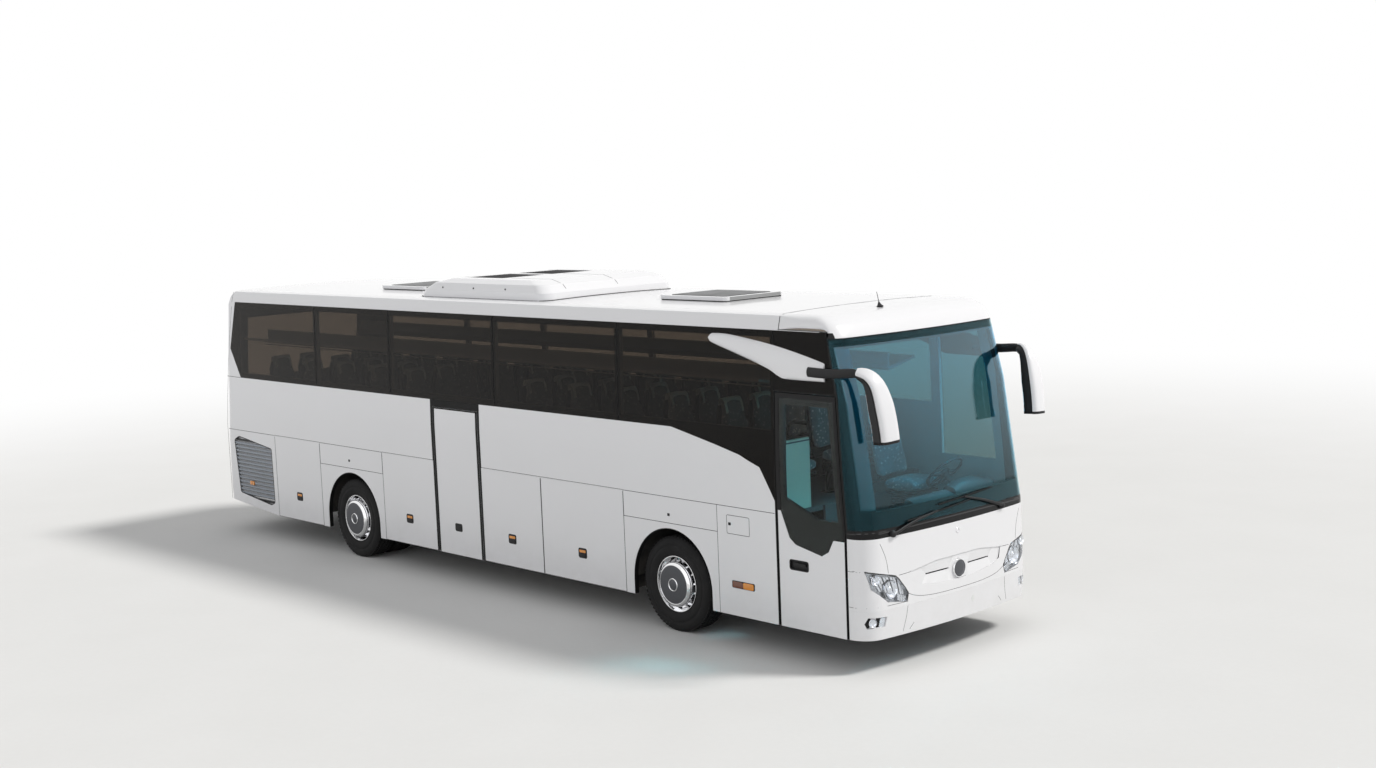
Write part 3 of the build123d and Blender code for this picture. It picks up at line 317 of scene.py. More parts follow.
def ribbon(bm, face, path, width, lift, depth=0.001, closed=False):
    """Strip along a path on a face of the body."""
    points = [face.at(u, v) for u, v in path]
    count = len(points)
    rings = []
    for i, point in enumerate(points):
        before = points[(i - 1) % count] if closed else points[max(i - 1, 0)]
        after = points[(i + 1) % count] if closed else points[min(i + 1, count - 1)]
        into, on = (point - before), (after - point)
        into = into.normalized() if into.length > 1e-6 else on.normalized()
        on = on.normalized() if on.length > 1e-6 else into
        out = face.out(*path[i])
        across = (into + on).cross(out).normalized()
        across *= width / 2 / max(0.4, abs(into.cross(out).normalized().dot(across)))
        rings.append([point + across - out * depth, point + across + out * lift * 0.5,
            point + across * 0.8 + out * lift, point - across * 0.8 + out * lift,
            point - across + out * lift * 0.5, point - across - out * depth])
    join_rings(bm, rings, around=True, along=closed, caps=not closed)


def patch(bm, face, outline, lift, depth, cell=0.08, crown=0.0):
    """Plate over an outline on a face of the body; crown raises its middle."""
    flat = bmesh.new()
    flat.faces.new([flat.verts.new((u, v, 0)) for u, v in outline])
    bmesh.ops.triangulate(flat, faces=flat.faces[:])
    lows = [min(p[k] for p in outline) for k in (0, 1)]
    highs = [max(p[k] for p in outline) for k in (0, 1)]
    for k, way in ((0, AHEAD), (1, Vector((0, 1, 0)))):
        for line in range(math.ceil(lows[k] / cell), math.floor(highs[k] / cell) + 1):
            parts = flat.verts[:] + flat.edges[:] + flat.faces[:]
            bmesh.ops.bisect_plane(flat, geom=parts, dist=1e-6, plane_co=way * line * cell, plane_no=way)
    flat.verts.index_update()
    front, back = [], []
    for v in flat.verts:
        u, w = v.co.x, v.co.y
        inside = [min(at - low, high - at) / (high - low) for at, low, high in zip((u, w), lows, highs)]
        rise = crown * min(1, 4 * max(0, min(inside)))
        front.append(bm.verts.new(face.at(u, w, lift + rise)))
        back.append(bm.verts.new(face.at(u, w, lift - depth)))
    for f in flat.faces:
        order = [v.index for v in f.verts]
        bm.faces.new([front[i] for i in order])
        bm.faces.new([back[i] for i in reversed(order)])
    for e in flat.edges:
        if e.is_boundary:
            a, b = (v.index for v in e.verts)
            bm.faces.new((front[a], front[b], back[b], back[a]))
    flat.free()


def tube(bm, points, radii, steps=12, flat=1.0):
    """Tube along points with a radius at each; flat narrows it across."""
    points = [Vector(p) for p in points]
    rings = []
    side = None
    for i, point in enumerate(points):
        along = (points[min(i + 1, len(points) - 1)] - points[max(i - 1, 0)]).normalized()
        if side is None:
            side = along.orthogonal().normalized()
            if abs(along.z) < 0.9:
                side = along.cross(UP).normalized()
        side = (side - along * side.dot(along)).normalized()
        up = along.cross(side)
        r = radii[i] if isinstance(radii, (list, tuple)) else radii
        rings.append([point + side * (r * flat * math.cos(math.tau * k / steps))
            + up * (r * math.sin(math.tau * k / steps)) for k in range(steps)])
    join_rings(bm, rings, caps=True)


def finished(name, mesh, body, sharp):
    """Object of a mesh, smooth but for its sharp edges, that moves with a body."""
    mesh.shade_smooth()
    mesh.set_sharp_from_angle(angle=math.radians(sharp))
    made = new_object(name, mesh)
    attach(made, body)
    return made


def piece(name, bm, finish, body="coach", sharp=SHARP):
    """Turn a mesh into a finished object that moves with a body."""
    bmesh.ops.remove_doubles(bm, verts=bm.verts, dist=WELD)
    bmesh.ops.recalc_face_normals(bm, faces=bm.faces)
    mesh = new_mesh(name, bm)
    mesh.materials.append(PAINT[finish])
    return finished(name, mesh, body, sharp)


# Node trees
class Graph:
    """Adds nodes to a tree, sets their inputs and links them."""

    def __init__(self, tree):
        self.tree = tree

    def add(self, kind, inputs=None, **settings):
        node = self.tree.nodes.new(kind)
        for key, value in settings.items():
            setattr(node, key, value)
        for key, value in (inputs or {}).items():
            if isinstance(value, bpy.types.NodeSocket):
                self.tree.links.new(value, node.inputs[key])
            else:
                node.inputs[key].default_value = value
        return node

    def maths(self, operation, *values, clamp=False):
        node = self.add("ShaderNodeMath", dict(enumerate(values)), operation=operation, use_clamp=clamp)
        return node.outputs[0]

    def vector(self, operation, *values):
        return self.add("ShaderNodeVectorMath", dict(enumerate(values)), operation=operation)

    def blend(self, share, first, second):
        """Mix of two colours."""
        node = self.add("ShaderNodeMix", data_type="RGBA")
        for slot, value in ((0, share), (6, first), (7, second)):
            if isinstance(value, bpy.types.NodeSocket):
                self.tree.links.new(value, node.inputs[slot])
            else:
                node.inputs[slot].default_value = value if slot == 0 else (*value[:3], 1)
        return node.outputs[2]


def new_tree(name, kind, inputs, outputs):
    """Node group with named inputs (name, type, default) and outputs (name, type)."""
    tree = bpy.data.node_groups.new(name, kind)
    for label, socket, value in inputs:
        made = tree.interface.new_socket(name=label, in_out="INPUT", socket_type="NodeSocket" + socket)
        if value is not None:
            made.default_value = value
    for label, socket in outputs:
        tree.interface.new_socket(name=label, in_out="OUTPUT", socket_type="NodeSocket" + socket)
    graph = Graph(tree)
    return graph, graph.add("NodeGroupInput").outputs, graph.add("NodeGroupOutput").inputs


def repeat_tree(name, extra, place):
    """Geometry tree that sets copies of a shape at worked-out places."""
    inputs = [("Shape", "Object", None), ("Count", "Int", 12)] + extra + [("Finish", "Material", None)]
    graph, given, out = new_tree(name, "GeometryNodeTree", inputs, [("Geometry", "Geometry")])
    index = graph.add("GeometryNodeInputIndex").outputs[0]
    position, turn, scale = place(graph, given, index)
    points = graph.add("GeometryNodePoints", {"Count": given["Count"], "Position": position}).outputs[0]
    shape = graph.add("GeometryNodeObjectInfo", {"Object": given["Shape"]}).outputs["Geometry"]
    copies = graph.add("GeometryNodeInstanceOnPoints", {"Points": points, "Instance": shape})
    if turn is not None:
        euler = graph.add("FunctionNodeEulerToRotation", {0: turn}).outputs[0]
        graph.tree.links.new(euler, copies.inputs["Rotation"])
    if scale is not None:
        graph.tree.links.new(scale, copies.inputs["Scale"])
    real = graph.add("GeometryNodeRealizeInstances", {0: copies.outputs[0]}).outputs[0]
    done = graph.add("GeometryNodeSetMaterial", {"Geometry": real, "Material": given["Finish"]}).outputs[0]
    graph.tree.links.new(done, out[0])
    return graph.tree


def place_on_ring(graph, given, index):
    share = graph.maths("DIVIDE", graph.maths("ADD", index, given["Phase"]), given["Count"])
    turn = graph.maths("MULTIPLY", share, math.tau)
    x = graph.maths("MULTIPLY", graph.maths("SINE", turn), given["Radius"])
    z = graph.maths("MULTIPLY", graph.maths("COSINE", turn), given["Radius"])
    spot = graph.add("ShaderNodeCombineXYZ", {0: x, 2: z}).outputs[0]
    position = graph.vector("ADD", spot, given["Centre"]).outputs[0]
    return position, graph.add("ShaderNodeCombineXYZ", {1: turn}).outputs[0], None


def place_in_row(graph, given, index):
    step = graph.vector("SCALE", given["Step"])
    graph.tree.links.new(index, step.inputs["Scale"])
    position = graph.vector("ADD", step.outputs[0], given["Start"]).outputs[0]
    growth = graph.vector("SCALE", given["Growth"])
    graph.tree.links.new(index, growth.inputs["Scale"])
    return position, None, graph.vector("ADD", growth.outputs[0], (1, 1, 1)).outputs[0]


RING = repeat_tree("Copies on a ring", [("Radius", "Float", 0.5), ("Phase", "Float", 0.0),
    ("Centre", "Vector", (0, 0, 0))], place_on_ring)
ROW = repeat_tree("Copies in a row", [("Start", "Vector", (0, 0, 0)), ("Step", "Vector", (0, 0, 0.05)),
    ("Growth", "Vector", (0, 0, 0))], place_in_row)


def repeat(name, tree, shape, finish, body="coach", slot=None, **values):
    """Run a geometry tree on a small shape and keep the result as one plain piece."""
    bmesh.ops.recalc_face_normals(shape, faces=shape.faces)
    seed_object = new_object("seed", new_mesh("seed", shape))
    host = new_object("host", bpy.data.meshes.new("host"))
    modifier = host.modifiers.new("Copies", "NODES")
    modifier.node_group = tree
    given = {"Shape": seed_object, "Finish": PAINT[finish]}
    given.update({key.replace("_", " ").capitalize(): value for key, value in values.items()})
    for item in tree.interface.items_tree:
        if item.item_type == "SOCKET" and item.in_out == "INPUT" and item.name in given:
            modifier[item.identifier] = given[item.name]
    shape_now = host.evaluated_get(bpy.context.evaluated_depsgraph_get())
    mesh = bpy.data.meshes.new_from_object(shape_now)
    mesh.name = name
    if not mesh.polygons:
        raise RuntimeError(f"{name}: the pattern came out empty")
    for o in (seed_object, host):
        o.modifiers.clear()
        bpy.data.objects.remove(o)
    return finished(name, mesh, body, SHARP)


# Shared effects
def make_tone_group():
    """Slow and fine variation over a surface."""
    graph, given, out = new_tree("Surface tone", "ShaderNodeTree",
        [("Scale", "Float", 3.0), ("Fine Scale", "Float", 60.0)], [("Tone", "Float"), ("Height", "Float")])
    place = graph.add("ShaderNodeTexCoord").outputs["Object"]
    slow = graph.add("ShaderNodeTexNoise", {"Vector": place, "Scale": given["Scale"], "Detail": 4.0})
    fine = graph.add("ShaderNodeTexNoise", {"Vector": place, "Scale": given["Fine Scale"], "Detail": 3.0})
    mixed = graph.maths("ADD", graph.maths("MULTIPLY", slow.outputs[0], 0.65),
        graph.maths("MULTIPLY", fine.outputs[0], 0.35))
    graph.tree.links.new(mixed, out["Tone"])
    graph.tree.links.new(fine.outputs[0], out["Height"])
    return graph.tree


def make_film_group():
    """Road film that thickens towards the ground."""
    graph, given, out = new_tree("Road film", "ShaderNodeTree", [("Top", "Float", 1.0),
        ("Strength", "Float", 0.3)], [("Mask", "Float")])
    place = graph.add("ShaderNodeTexCoord").outputs["Object"]
    height = graph.add("ShaderNodeSeparateXYZ", {0: place}).outputs[2]
    reach = graph.maths("DIVIDE", graph.maths("SUBTRACT", given["Top"], height), given["Top"], clamp=True)
    cloud = graph.add("ShaderNodeTexNoise", {"Vector": place, "Scale": 5.0, "Detail": 6.0,
        "Roughness": 0.65})
    patchy = graph.add("ShaderNodeMapRange", {0: cloud.outputs[0], 1: 0.35, 2: 0.7}).outputs[0]
    mask = graph.maths("MULTIPLY", graph.maths("MULTIPLY", reach, patchy), given["Strength"])
    graph.tree.links.new(mask, out["Mask"])
    return graph.tree


def make_skin_group():
    """Where a wall of the body faces outwards, and where it lies set back behind the glass."""
    graph, given, out = new_tree("Outer skin", "ShaderNodeTree", [("Half Width", "Float", HALF)],
        [("Outward", "Float"), ("Set Back", "Float")])
    coordinates = graph.add("ShaderNodeTexCoord")
    place, normal = coordinates.outputs["Object"], coordinates.outputs["Normal"]
    low = graph.vector("MAXIMUM", place, (-5.0, 0, -10)).outputs[0]
    inner = graph.vector("MINIMUM", low, (4.7, 0, 3.2)).outputs[0]
    away = graph.vector("SUBTRACT", place, inner).outputs[0]
    facing = graph.vector("DOT_PRODUCT", normal, away).outputs["Value"]
    graph.tree.links.new(graph.maths("GREATER_THAN", facing, 0.02), out["Outward"])
    part = graph.add("ShaderNodeSeparateXYZ", {0: place}).outputs
    lean = graph.maths("MULTIPLY", graph.maths("MAXIMUM", graph.maths("SUBTRACT", part[2], UPRIGHT_TOP),
        0.0), LEAN / (GLASS_TOP - UPRIGHT_TOP))
    surface = graph.maths("SUBTRACT", given["Half Width"], lean)
    back = graph.maths("SUBTRACT", surface, graph.maths("ABSOLUTE", part[1]))
    behind = graph.maths("GREATER_THAN", back, 0.003)
    under_glass = graph.maths("LESS_THAN", back, 0.012)
    height = graph.maths("LESS_THAN", part[2], GLASS_TOP + 0.002)
    along = graph.maths("LESS_THAN", graph.maths("ABSOLUTE", graph.maths("ADD", part[0], 0.1)), 5.762)
    masks = graph.maths("MULTIPLY", graph.maths("MULTIPLY", behind, under_glass), height)
    graph.tree.links.new(graph.maths("MULTIPLY", masks, along), out["Set Back"])
    return graph.tree


def make_box_group():
    """Mask that is 1 inside a box."""
    graph, given, out = new_tree("Inside a box", "ShaderNodeTree",
        [("Low", "Vector", (0, 0, 0)), ("High", "Vector", (1, 1, 1))], [("Mask", "Float")])
    place = graph.add("ShaderNodeTexCoord").outputs["Object"]
    mask = None
    point = graph.add("ShaderNodeSeparateXYZ", {0: place}).outputs
    low = graph.add("ShaderNodeSeparateXYZ", {0: given["Low"]}).outputs
    high = graph.add("ShaderNodeSeparateXYZ", {0: given["High"]}).outputs
    for k in range(3):
        for operation, limit in (("GREATER_THAN", low), ("LESS_THAN", high)):
            test = graph.maths(operation, point[k], limit[k])
            mask = test if mask is None else graph.maths("MULTIPLY", mask, test)
    graph.tree.links.new(mask, out["Mask"])
    return graph.tree


def make_weave_group():
    """Woven cloth with a sprinkled pattern."""
    graph, given, out = new_tree("Cloth weave", "ShaderNodeTree",
        [("Thread", "Float", 900.0), ("Pattern", "Float", 22.0)],
        [("Height", "Float"), ("Fleck", "Float"), ("Shade", "Float")])
    place = graph.add("ShaderNodeTexCoord").outputs["Object"]
    part = graph.add("ShaderNodeSeparateXYZ", {0: place}).outputs
    warp = graph.maths("SINE", graph.maths("MULTIPLY", part[1], given["Thread"]))
    weft = graph.maths("SINE", graph.maths("MULTIPLY", graph.maths("ADD", part[0], part[2]),
        given["Thread"]))
    graph.tree.links.new(graph.maths("MULTIPLY", warp, weft), out["Height"])
    cells = graph.add("ShaderNodeTexVoronoi", {"Vector": place, "Scale": given["Pattern"]})
    graph.tree.links.new(graph.maths("LESS_THAN", cells.outputs["Distance"], 0.24), out["Fleck"])
    cloud = graph.add("ShaderNodeTexNoise", {"Vector": place, "Scale": 14.0, "Detail": 3.0})
    graph.tree.links.new(cloud.outputs[0], out["Shade"])
    return graph.tree


TONE = make_tone_group()
FILM = make_film_group()
SKIN = make_skin_group()
INSIDE = make_box_group()
WEAVE = make_weave_group()


# Finishes
def group(graph, tree, **values):
    """Place a shared effect in a material."""
    node = graph.add("ShaderNodeGroup", node_tree=tree)
    for key, value in values.items():
        node.inputs[key.replace("_", " ").title()].default_value = value
    return node.outputs


def start_finish(name):
    """Material with an empty tree and its shader."""
    material = bpy.data.materials.new(name)
    material.use_nodes = True
    material.node_tree.nodes.clear()
    graph = Graph(material.node_tree)
    shader = graph.add("ShaderNodeBsdfPrincipled")
    end = graph.add("ShaderNodeOutputMaterial", {"Surface": shader.outputs[0]})
    return material, graph, shader, end


def set_shader(graph, shader, **values):
    for key, value in values.items():
        socket = shader.inputs[key.replace("_", " ")]
        if isinstance(value, bpy.types.NodeSocket):
            graph.tree.links.new(value, socket)
        else:
            socket.default_value = value


def bump(graph, shader, height, strength, distance=0.001):
    node = graph.add("ShaderNodeBump", {"Strength": strength, "Distance": distance, "Height": height})
    graph.tree.links.new(node.outputs[0], shader.inputs["Normal"])


def plain_finish(name, colour, rough, metal=0.0, spread=0.12, scale=4.0, fine=80.0, bumps=0.1, film=0.0,
        coat=0.0, sheen=0.0, rough_spread=0.15, gleam=0.5):
    """Finish of one colour with slow shading, uneven gloss, fine relief and road film low down."""
    material, graph, shader, _ = start_finish(name)
    tone = group(graph, TONE, scale=scale, fine_scale=fine)
    dark = tuple(c * (1 - spread) for c in colour)
    light = tuple(min(1.0, c * (1 + spread * 0.5)) for c in colour)
    shade = graph.blend(tone["Tone"], dark, light)
    if film:
        dusty = group(graph, FILM, top=1.1, strength=film)["Mask"]
        shade = graph.blend(dusty, shade, (0.26, 0.235, 0.205))
    gloss = graph.add("ShaderNodeMapRange", {0: tone["Tone"], 1: 0.3, 2: 0.7, 3: rough * (1 - rough_spread),
        4: min(1.0, rough * (1 + rough_spread))}).outputs[0]
    set_shader(graph, shader, Base_Color=shade, Roughness=gloss, Metallic=metal, Coat_Weight=coat,
        Sheen_Weight=sheen, Specular_IOR_Level=gleam)
    bump(graph, shader, tone["Height"], bumps)
    return material


def coach_paint(name, colour, black_boxes=(), painted_shade_box=None, inner=(0.3, 0.305, 0.305)):
    """Gloss paint outside, black under the glass and in given boxes, painted shade in one more box, and a
    dull inner side.
    """
    material, graph, shader, _ = start_finish(name)
    tone = group(graph, TONE, scale=1.3, fine_scale=260.0)
    skin = group(graph, SKIN, half_width=HALF)
    outer = graph.blend(tone["Tone"], tuple(c * 0.965 for c in colour), colour)
    outer = graph.blend(group(graph, FILM, top=0.95, strength=0.16)["Mask"], outer, (0.42, 0.39, 0.35))
    black = skin["Set Back"]
    for low, high in black_boxes:
        black = graph.maths("MAXIMUM", black, group(graph, INSIDE, low=low, high=high)["Mask"])
    outer = graph.blend(black, outer, (0.006, 0.006, 0.0065))
    # Painted shade: outward faces inside this box turn dark teal, standing in for the shade behind the
    # windscreen's edge.
    if painted_shade_box:
        outer = graph.blend(group(graph, INSIDE, low=painted_shade_box[0], high=painted_shade_box[1])["Mask"], outer,
            (0.035, 0.05, 0.055))
    shade = graph.blend(skin["Outward"], inner, outer)
    gloss = graph.blend(skin["Outward"], (0.6,) * 3, (0.24,) * 3)
    coat = graph.maths("MULTIPLY", graph.maths("SUBTRACT", 1.0, black), 0.6)
    set_shader(graph, shader, Base_Color=shade, Roughness=gloss, Coat_Weight=coat, Coat_Roughness=0.06,
        Specular_IOR_Level=0.22)
    bump(graph, shader, tone["Height"], 0.012)
    return material


def tinted_glass(name, tint, bend=1.45, gleam=(1, 1, 1), painted_sky_box=None):
    """Thin tinted pane that lets light through to what is behind it; gleam tints its reflections, and a
    given box gets a painted sky reflection that grows towards the top.
    """
    material, graph, shader, end = start_finish(name)
    tone = group(graph, TONE, scale=2.2, fine_scale=30.0)
    smear = graph.add("ShaderNodeMapRange", {0: tone["Tone"], 1: 0.4, 2: 0.65, 3: 0.02, 4: 0.04}).outputs[0]
    shade = graph.blend(tone["Tone"], tuple(c * 0.94 for c in tint), tint)
    # Specular tint from gleam: on the windscreen its blue is a painted sky reflection.
    set_shader(graph, shader, Base_Color=shade, Roughness=smear, Transmission_Weight=1.0, IOR=bend,
        Specular_Tint=(*gleam, 1))
    # Painted sky reflection: inside the box a coat tinted with gleam grows from a quarter to full weight
    # between 1.7 m and 2.9 m high, so the upper glass reflects more and looks bluer.
    if painted_sky_box:
        place = graph.add("ShaderNodeTexCoord").outputs["Object"]
        height = graph.add("ShaderNodeSeparateXYZ", {0: place}).outputs[2]
        rise = graph.add("ShaderNodeMapRange", {0: height, 1: 1.7, 2: 2.9, 3: 0.25, 4: 1.0}).outputs[0]
        inner = group(graph, INSIDE, low=painted_sky_box[0], high=painted_sky_box[1])["Mask"]
        set_shader(graph, shader, Coat_Weight=graph.maths("MULTIPLY", inner, rise), Coat_IOR=1.75,
            Coat_Roughness=0.02, Coat_Tint=(*gleam, 1))
    clear = graph.add("ShaderNodeBsdfTransparent", {0: (*tint, 1)})
    path = graph.add("ShaderNodeLightPath")
    mixed = graph.add("ShaderNodeMixShader", {0: path.outputs["Is Shadow Ray"], 1: shader.outputs[0],
        2: clear.outputs[0]})
    graph.tree.links.new(mixed.outputs[0], end.inputs["Surface"])
    return material


def seat_cloth(name, base, second, fleck):
    material, graph, shader, _ = start_finish(name)
    weave = group(graph, WEAVE, thread=1400.0, pattern=26.0)
    ground = graph.blend(weave["Shade"], base, second)
    shade = graph.blend(weave["Fleck"], ground, fleck)
    set_shader(graph, shader, Base_Color=shade, Roughness=0.9, Sheen_Weight=0.3)
    bump(graph, shader, weave["Height"], 0.35, 0.0006)
    return material


def striped_lens(name, bands):
    """Moulded lamp lens with coloured bands by height and fine flutes."""
    material, graph, shader, _ = start_finish(name)
    place = graph.add("ShaderNodeTexCoord").outputs["Object"]
    part = graph.add("ShaderNodeSeparateXYZ", {0: place}).outputs
    tone = group(graph, TONE, scale=9.0, fine_scale=120.0)
    shade = graph.blend(tone["Tone"], tuple(c * 0.8 for c in bands[0][1]), bands[0][1])
    for level, colour in bands[1:]:
        above = graph.maths("GREATER_THAN", part[2], level)
        shade = graph.blend(above, shade, colour)
    flutes = graph.maths("SINE", graph.maths("MULTIPLY", graph.maths("ADD", part[1], part[0]), 520.0))
    set_shader(graph, shader, Base_Color=shade, Roughness=0.12, Coat_Weight=0.8, Coat_Roughness=0.03)
    bump(graph, shader, flutes, 0.25)
    return material


def make_finishes(tones):
    """All finishes, by a short name."""
    white = tuple(tones.body_colour)
    black = tuple(tones.trim_colour)
    PAINT.update(
        body=coach_paint("Body paint", white),
        flank=coach_paint("Flank paint", white, [((-1.052, -1.4, 0.2), (-0.065, -1.2, 2.2)),
            ((4.738, -1.4, 0.2), (5.7, -1.2, 2.72)), ((5.36, -1.4, 2.7), (5.75, -1.2, 3.262))]),
        door=coach_paint("Front door paint", white, [((4.7, -1.4, 1.49), (4.93, -1.2, 2.8)),
            ((4.7, -1.4, 2.58), (5.7, -1.2, 2.8)), ((5.46, -1.4, 1.272), (5.7, -1.2, 2.8)),
            ((4.7, -1.4, 0.2), (4.776, -1.2, 2.8)), ((5.64, -1.4, 0.2), (5.7, -1.2, 2.8)),
            ((4.7, -1.268, 1.45), (5.7, -1.1, 2.75))], inner=DARK_INNER),
        bumper=coach_paint("Bumper paint", white, [DOOR_EDGE]),
        # The nose's second box is painted shade behind the windscreen's edge.
        mask=coach_paint("Nose paint", white, [((5.2, -1.4, 1.31), (6.4, 1.4, 3.2)), DOOR_EDGE,
            ((5.2, -1.4, 3.14), (5.52, -1.19, 3.25)), ((5.2, 1.19, 3.14), (5.52, 1.4, 3.25))],
            ((5.45, -1.215, 1.58), (6.4, 1.215, 3.1)), DARK_INNER),
        tail=coach_paint("Tail paint", white, [((-6.4, -0.985, 2.075), (-5.6, 0.985, 3.065))]),
        shell=plain_finish("Trim paint", white, 0.24, spread=0.035, scale=1.5, fine=240, bumps=0.012,
            coat=0.5),
        black=plain_finish("Gloss black trim", black, 0.22, spread=0.3, fine=200, bumps=0.02, coat=0.25),
        satin=plain_finish("Satin black plastic", (0.012, 0.012, 0.013), 0.5, spread=0.3, fine=420,
            bumps=0.12, gleam=0.3),
        seal=plain_finish("Black rubber seal", (0.007, 0.007, 0.007), 0.62, spread=0.4, fine=300,
            bumps=0.15, gleam=0.2),
        seam=plain_finish("Shadow gap", (0.012, 0.012, 0.013), 0.8, spread=0.3, fine=120, bumps=0.1,
            gleam=0.1),
        line=plain_finish("Panel line", (0.055, 0.055, 0.06), 0.7, spread=0.2, fine=120, bumps=0.05,
            gleam=0.15),
        pane=plain_finish("Dark acrylic", (0.01, 0.012, 0.014), 0.3, spread=0.3, fine=160, bumps=0.02,
            gleam=0.1),
        tyre=plain_finish("Tyre rubber", (0.006, 0.006, 0.0065), 0.78, spread=0.35, scale=7, fine=240,
            bumps=0.25, film=0.03, rough_spread=0.12, gleam=0.3),
        chrome=plain_finish("Bright chrome", (0.86, 0.86, 0.87), 0.07, metal=1.0, spread=0.05, fine=90,
            bumps=0.01, rough_spread=0.5),
        cover=plain_finish("Satin grey cover", (0.085, 0.088, 0.098), 0.34, metal=0.35, spread=0.15,
            fine=260, bumps=0.03),
        # Painted shade: near-black with almost no gloss, for plugs and strips set where openings hold only
        # shade.
        slots=plain_finish("Painted opening shade", (0.005, 0.005, 0.005), 0.8, spread=0.4, fine=90, bumps=0.1,
            gleam=0.05),
        steel=plain_finish("Chassis paint", (0.03, 0.031, 0.033), 0.55, spread=0.3, scale=6, fine=130,
            bumps=0.2, film=0.5),
        cast=plain_finish("Cast engine", (0.16, 0.165, 0.17), 0.55, metal=0.5, spread=0.35, scale=9,
            fine=160, bumps=0.4, film=0.25),
        under=plain_finish("Underseal", (0.022, 0.022, 0.022), 0.85, spread=0.35, scale=8, fine=70,
            bumps=0.5, film=0.6),
        floor=plain_finish("Speckled floor covering", (0.1, 0.105, 0.115), 0.6, spread=0.5, scale=160,
            fine=500, bumps=0.08),
        louvre=plain_finish("Grey louvre", (0.31, 0.34, 0.385), 0.45, spread=0.12, fine=200, bumps=0.05,
            film=0.12),
        mint=plain_finish("Pale mint panel", (0.47, 0.62, 0.55), 0.5, spread=0.08, fine=350, bumps=0.06),
        rack=plain_finish("Pale grey plastic", (0.36, 0.365, 0.37), 0.5, spread=0.08, fine=380, bumps=0.08),
        dash=plain_finish("Grained dashboard", (0.045, 0.047, 0.052), 0.6, spread=0.2, fine=520, bumps=0.3),
        cloth=seat_cloth("Woven cloth", (0.11, 0.13, 0.15), (0.22, 0.245, 0.265), (0.42, 0.45, 0.47)),
        cover_cloth=plain_finish("Headrest cover", (0.64, 0.73, 0.68), 0.65, spread=0.1, scale=16, fine=420,
            bumps=0.15, sheen=0.3),
        side_glass=tinted_glass("Dark tinted glass", tuple(tones.side_glass), bend=1.2),
        # The windscreen's blue gleam and its box are a painted sky reflection.
        windscreen=tinted_glass("Windscreen glass", tuple(tones.windscreen), bend=1.22,
            gleam=(0.52, 0.88, 1), painted_sky_box=((5.2, -1.21, 1.6), (6.4, 1.21, 3.12))),
        door_glass=tinted_glass("Door glass", (0.84, 0.9, 0.87), bend=1.2),
        lens=tinted_glass("Clear lamp lens", (0.93, 0.95, 0.97)),
        mirror=plain_finish("Mirror glass", (0.8, 0.83, 0.86), 0.02, metal=1.0, spread=0.02, bumps=0.0),
        reflector=plain_finish("Bright reflector", (0.88, 0.89, 0.92), 0.12, metal=1.0, spread=0.12,
            scale=30, fine=160, bumps=0.25),
        housing=plain_finish("Dark bright housing", (0.52, 0.53, 0.55), 0.22, metal=0.9, spread=0.3,
            scale=24, fine=160, bumps=0.3),
        amber=striped_lens("Amber lens", [(0, (0.85, 0.3, 0.02))]),
        brown=striped_lens("Brown lens", [(0, (0.17, 0.042, 0.012))]),
        red=striped_lens("Red lens", [(0, (0.62, 0.012, 0.012))]),
        tail_lamp=striped_lens("Tail lamp bands", [(0, (0.62, 0.012, 0.012)), (0.98, (0.8, 0.82, 0.84)),
            (1.06, (0.85, 0.28, 0.02)), (1.17, (0.62, 0.012, 0.012))]),
        plate=plain_finish("Blank plate", (0.72, 0.73, 0.72), 0.4, spread=0.06, fine=300, bumps=0.05),
    )


NODE_FINISH = {
    "body": ["side_left", "roof", "roof_hatch_front", "roof_hatch_rear", "engine_lid",
        "middle_door"] + [f"flap_{side}_{place}" for side in ("right", "left")
        for place in ("service", "rear", "middle", "front")],
    "flank": ["side_right"],
    "door": ["front_door"],
    "bumper": ["front_bumper"],
    "shell": ["roof_aircon"],
    "mask": ["front_mask"],
    "tail": ["rear_wall"],
    "side_glass": ["side_glass_right", "side_glass_left", "rear_window"],
    "windscreen": ["windscreen"],
    "door_glass": ["front_door_glass"],
    "lens": ["front_lamps"],
    "tail_lamp": ["tail_lamps"],
    "steel": ["front_door_arm", "middle_door_arm", "knuckle_right", "knuckle_left", "front_axle",
        "rear_axle"],
    "floor": ["cabin_floor", "middle_stairs"],
    "under": ["underframe", "wheel_tubs"],
    "cast": ["engine"],
    "tyre": [f"tyre_{wheel}" for wheel in WHEELS],
    "chrome": [f"rim_{wheel}" for wheel in WHEELS],
    "cloth": ["passenger_seats", "driver_seat"],
    "dash": ["dashboard", "steering_wheel"],
    "rack": ["luggage_racks"],
    "black": ["mirror_right", "mirror_left"],
}


def dress_nodes():
    """Give every CAD node its finish."""
    for finish, nodes in NODE_FINISH.items():
        for node in nodes:
            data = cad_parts[node].data
            data.materials.clear()
            data.materials.append(PAINT[finish])


# Wheels
# Rows of lugs across a tyre: (distance from its middle, length of a lug)
TREAD_ROWS = ((-0.108, 0.03), (0.108, 0.03), (-0.055, 0.038), (0.0, 0.036), (0.055, 0.038))


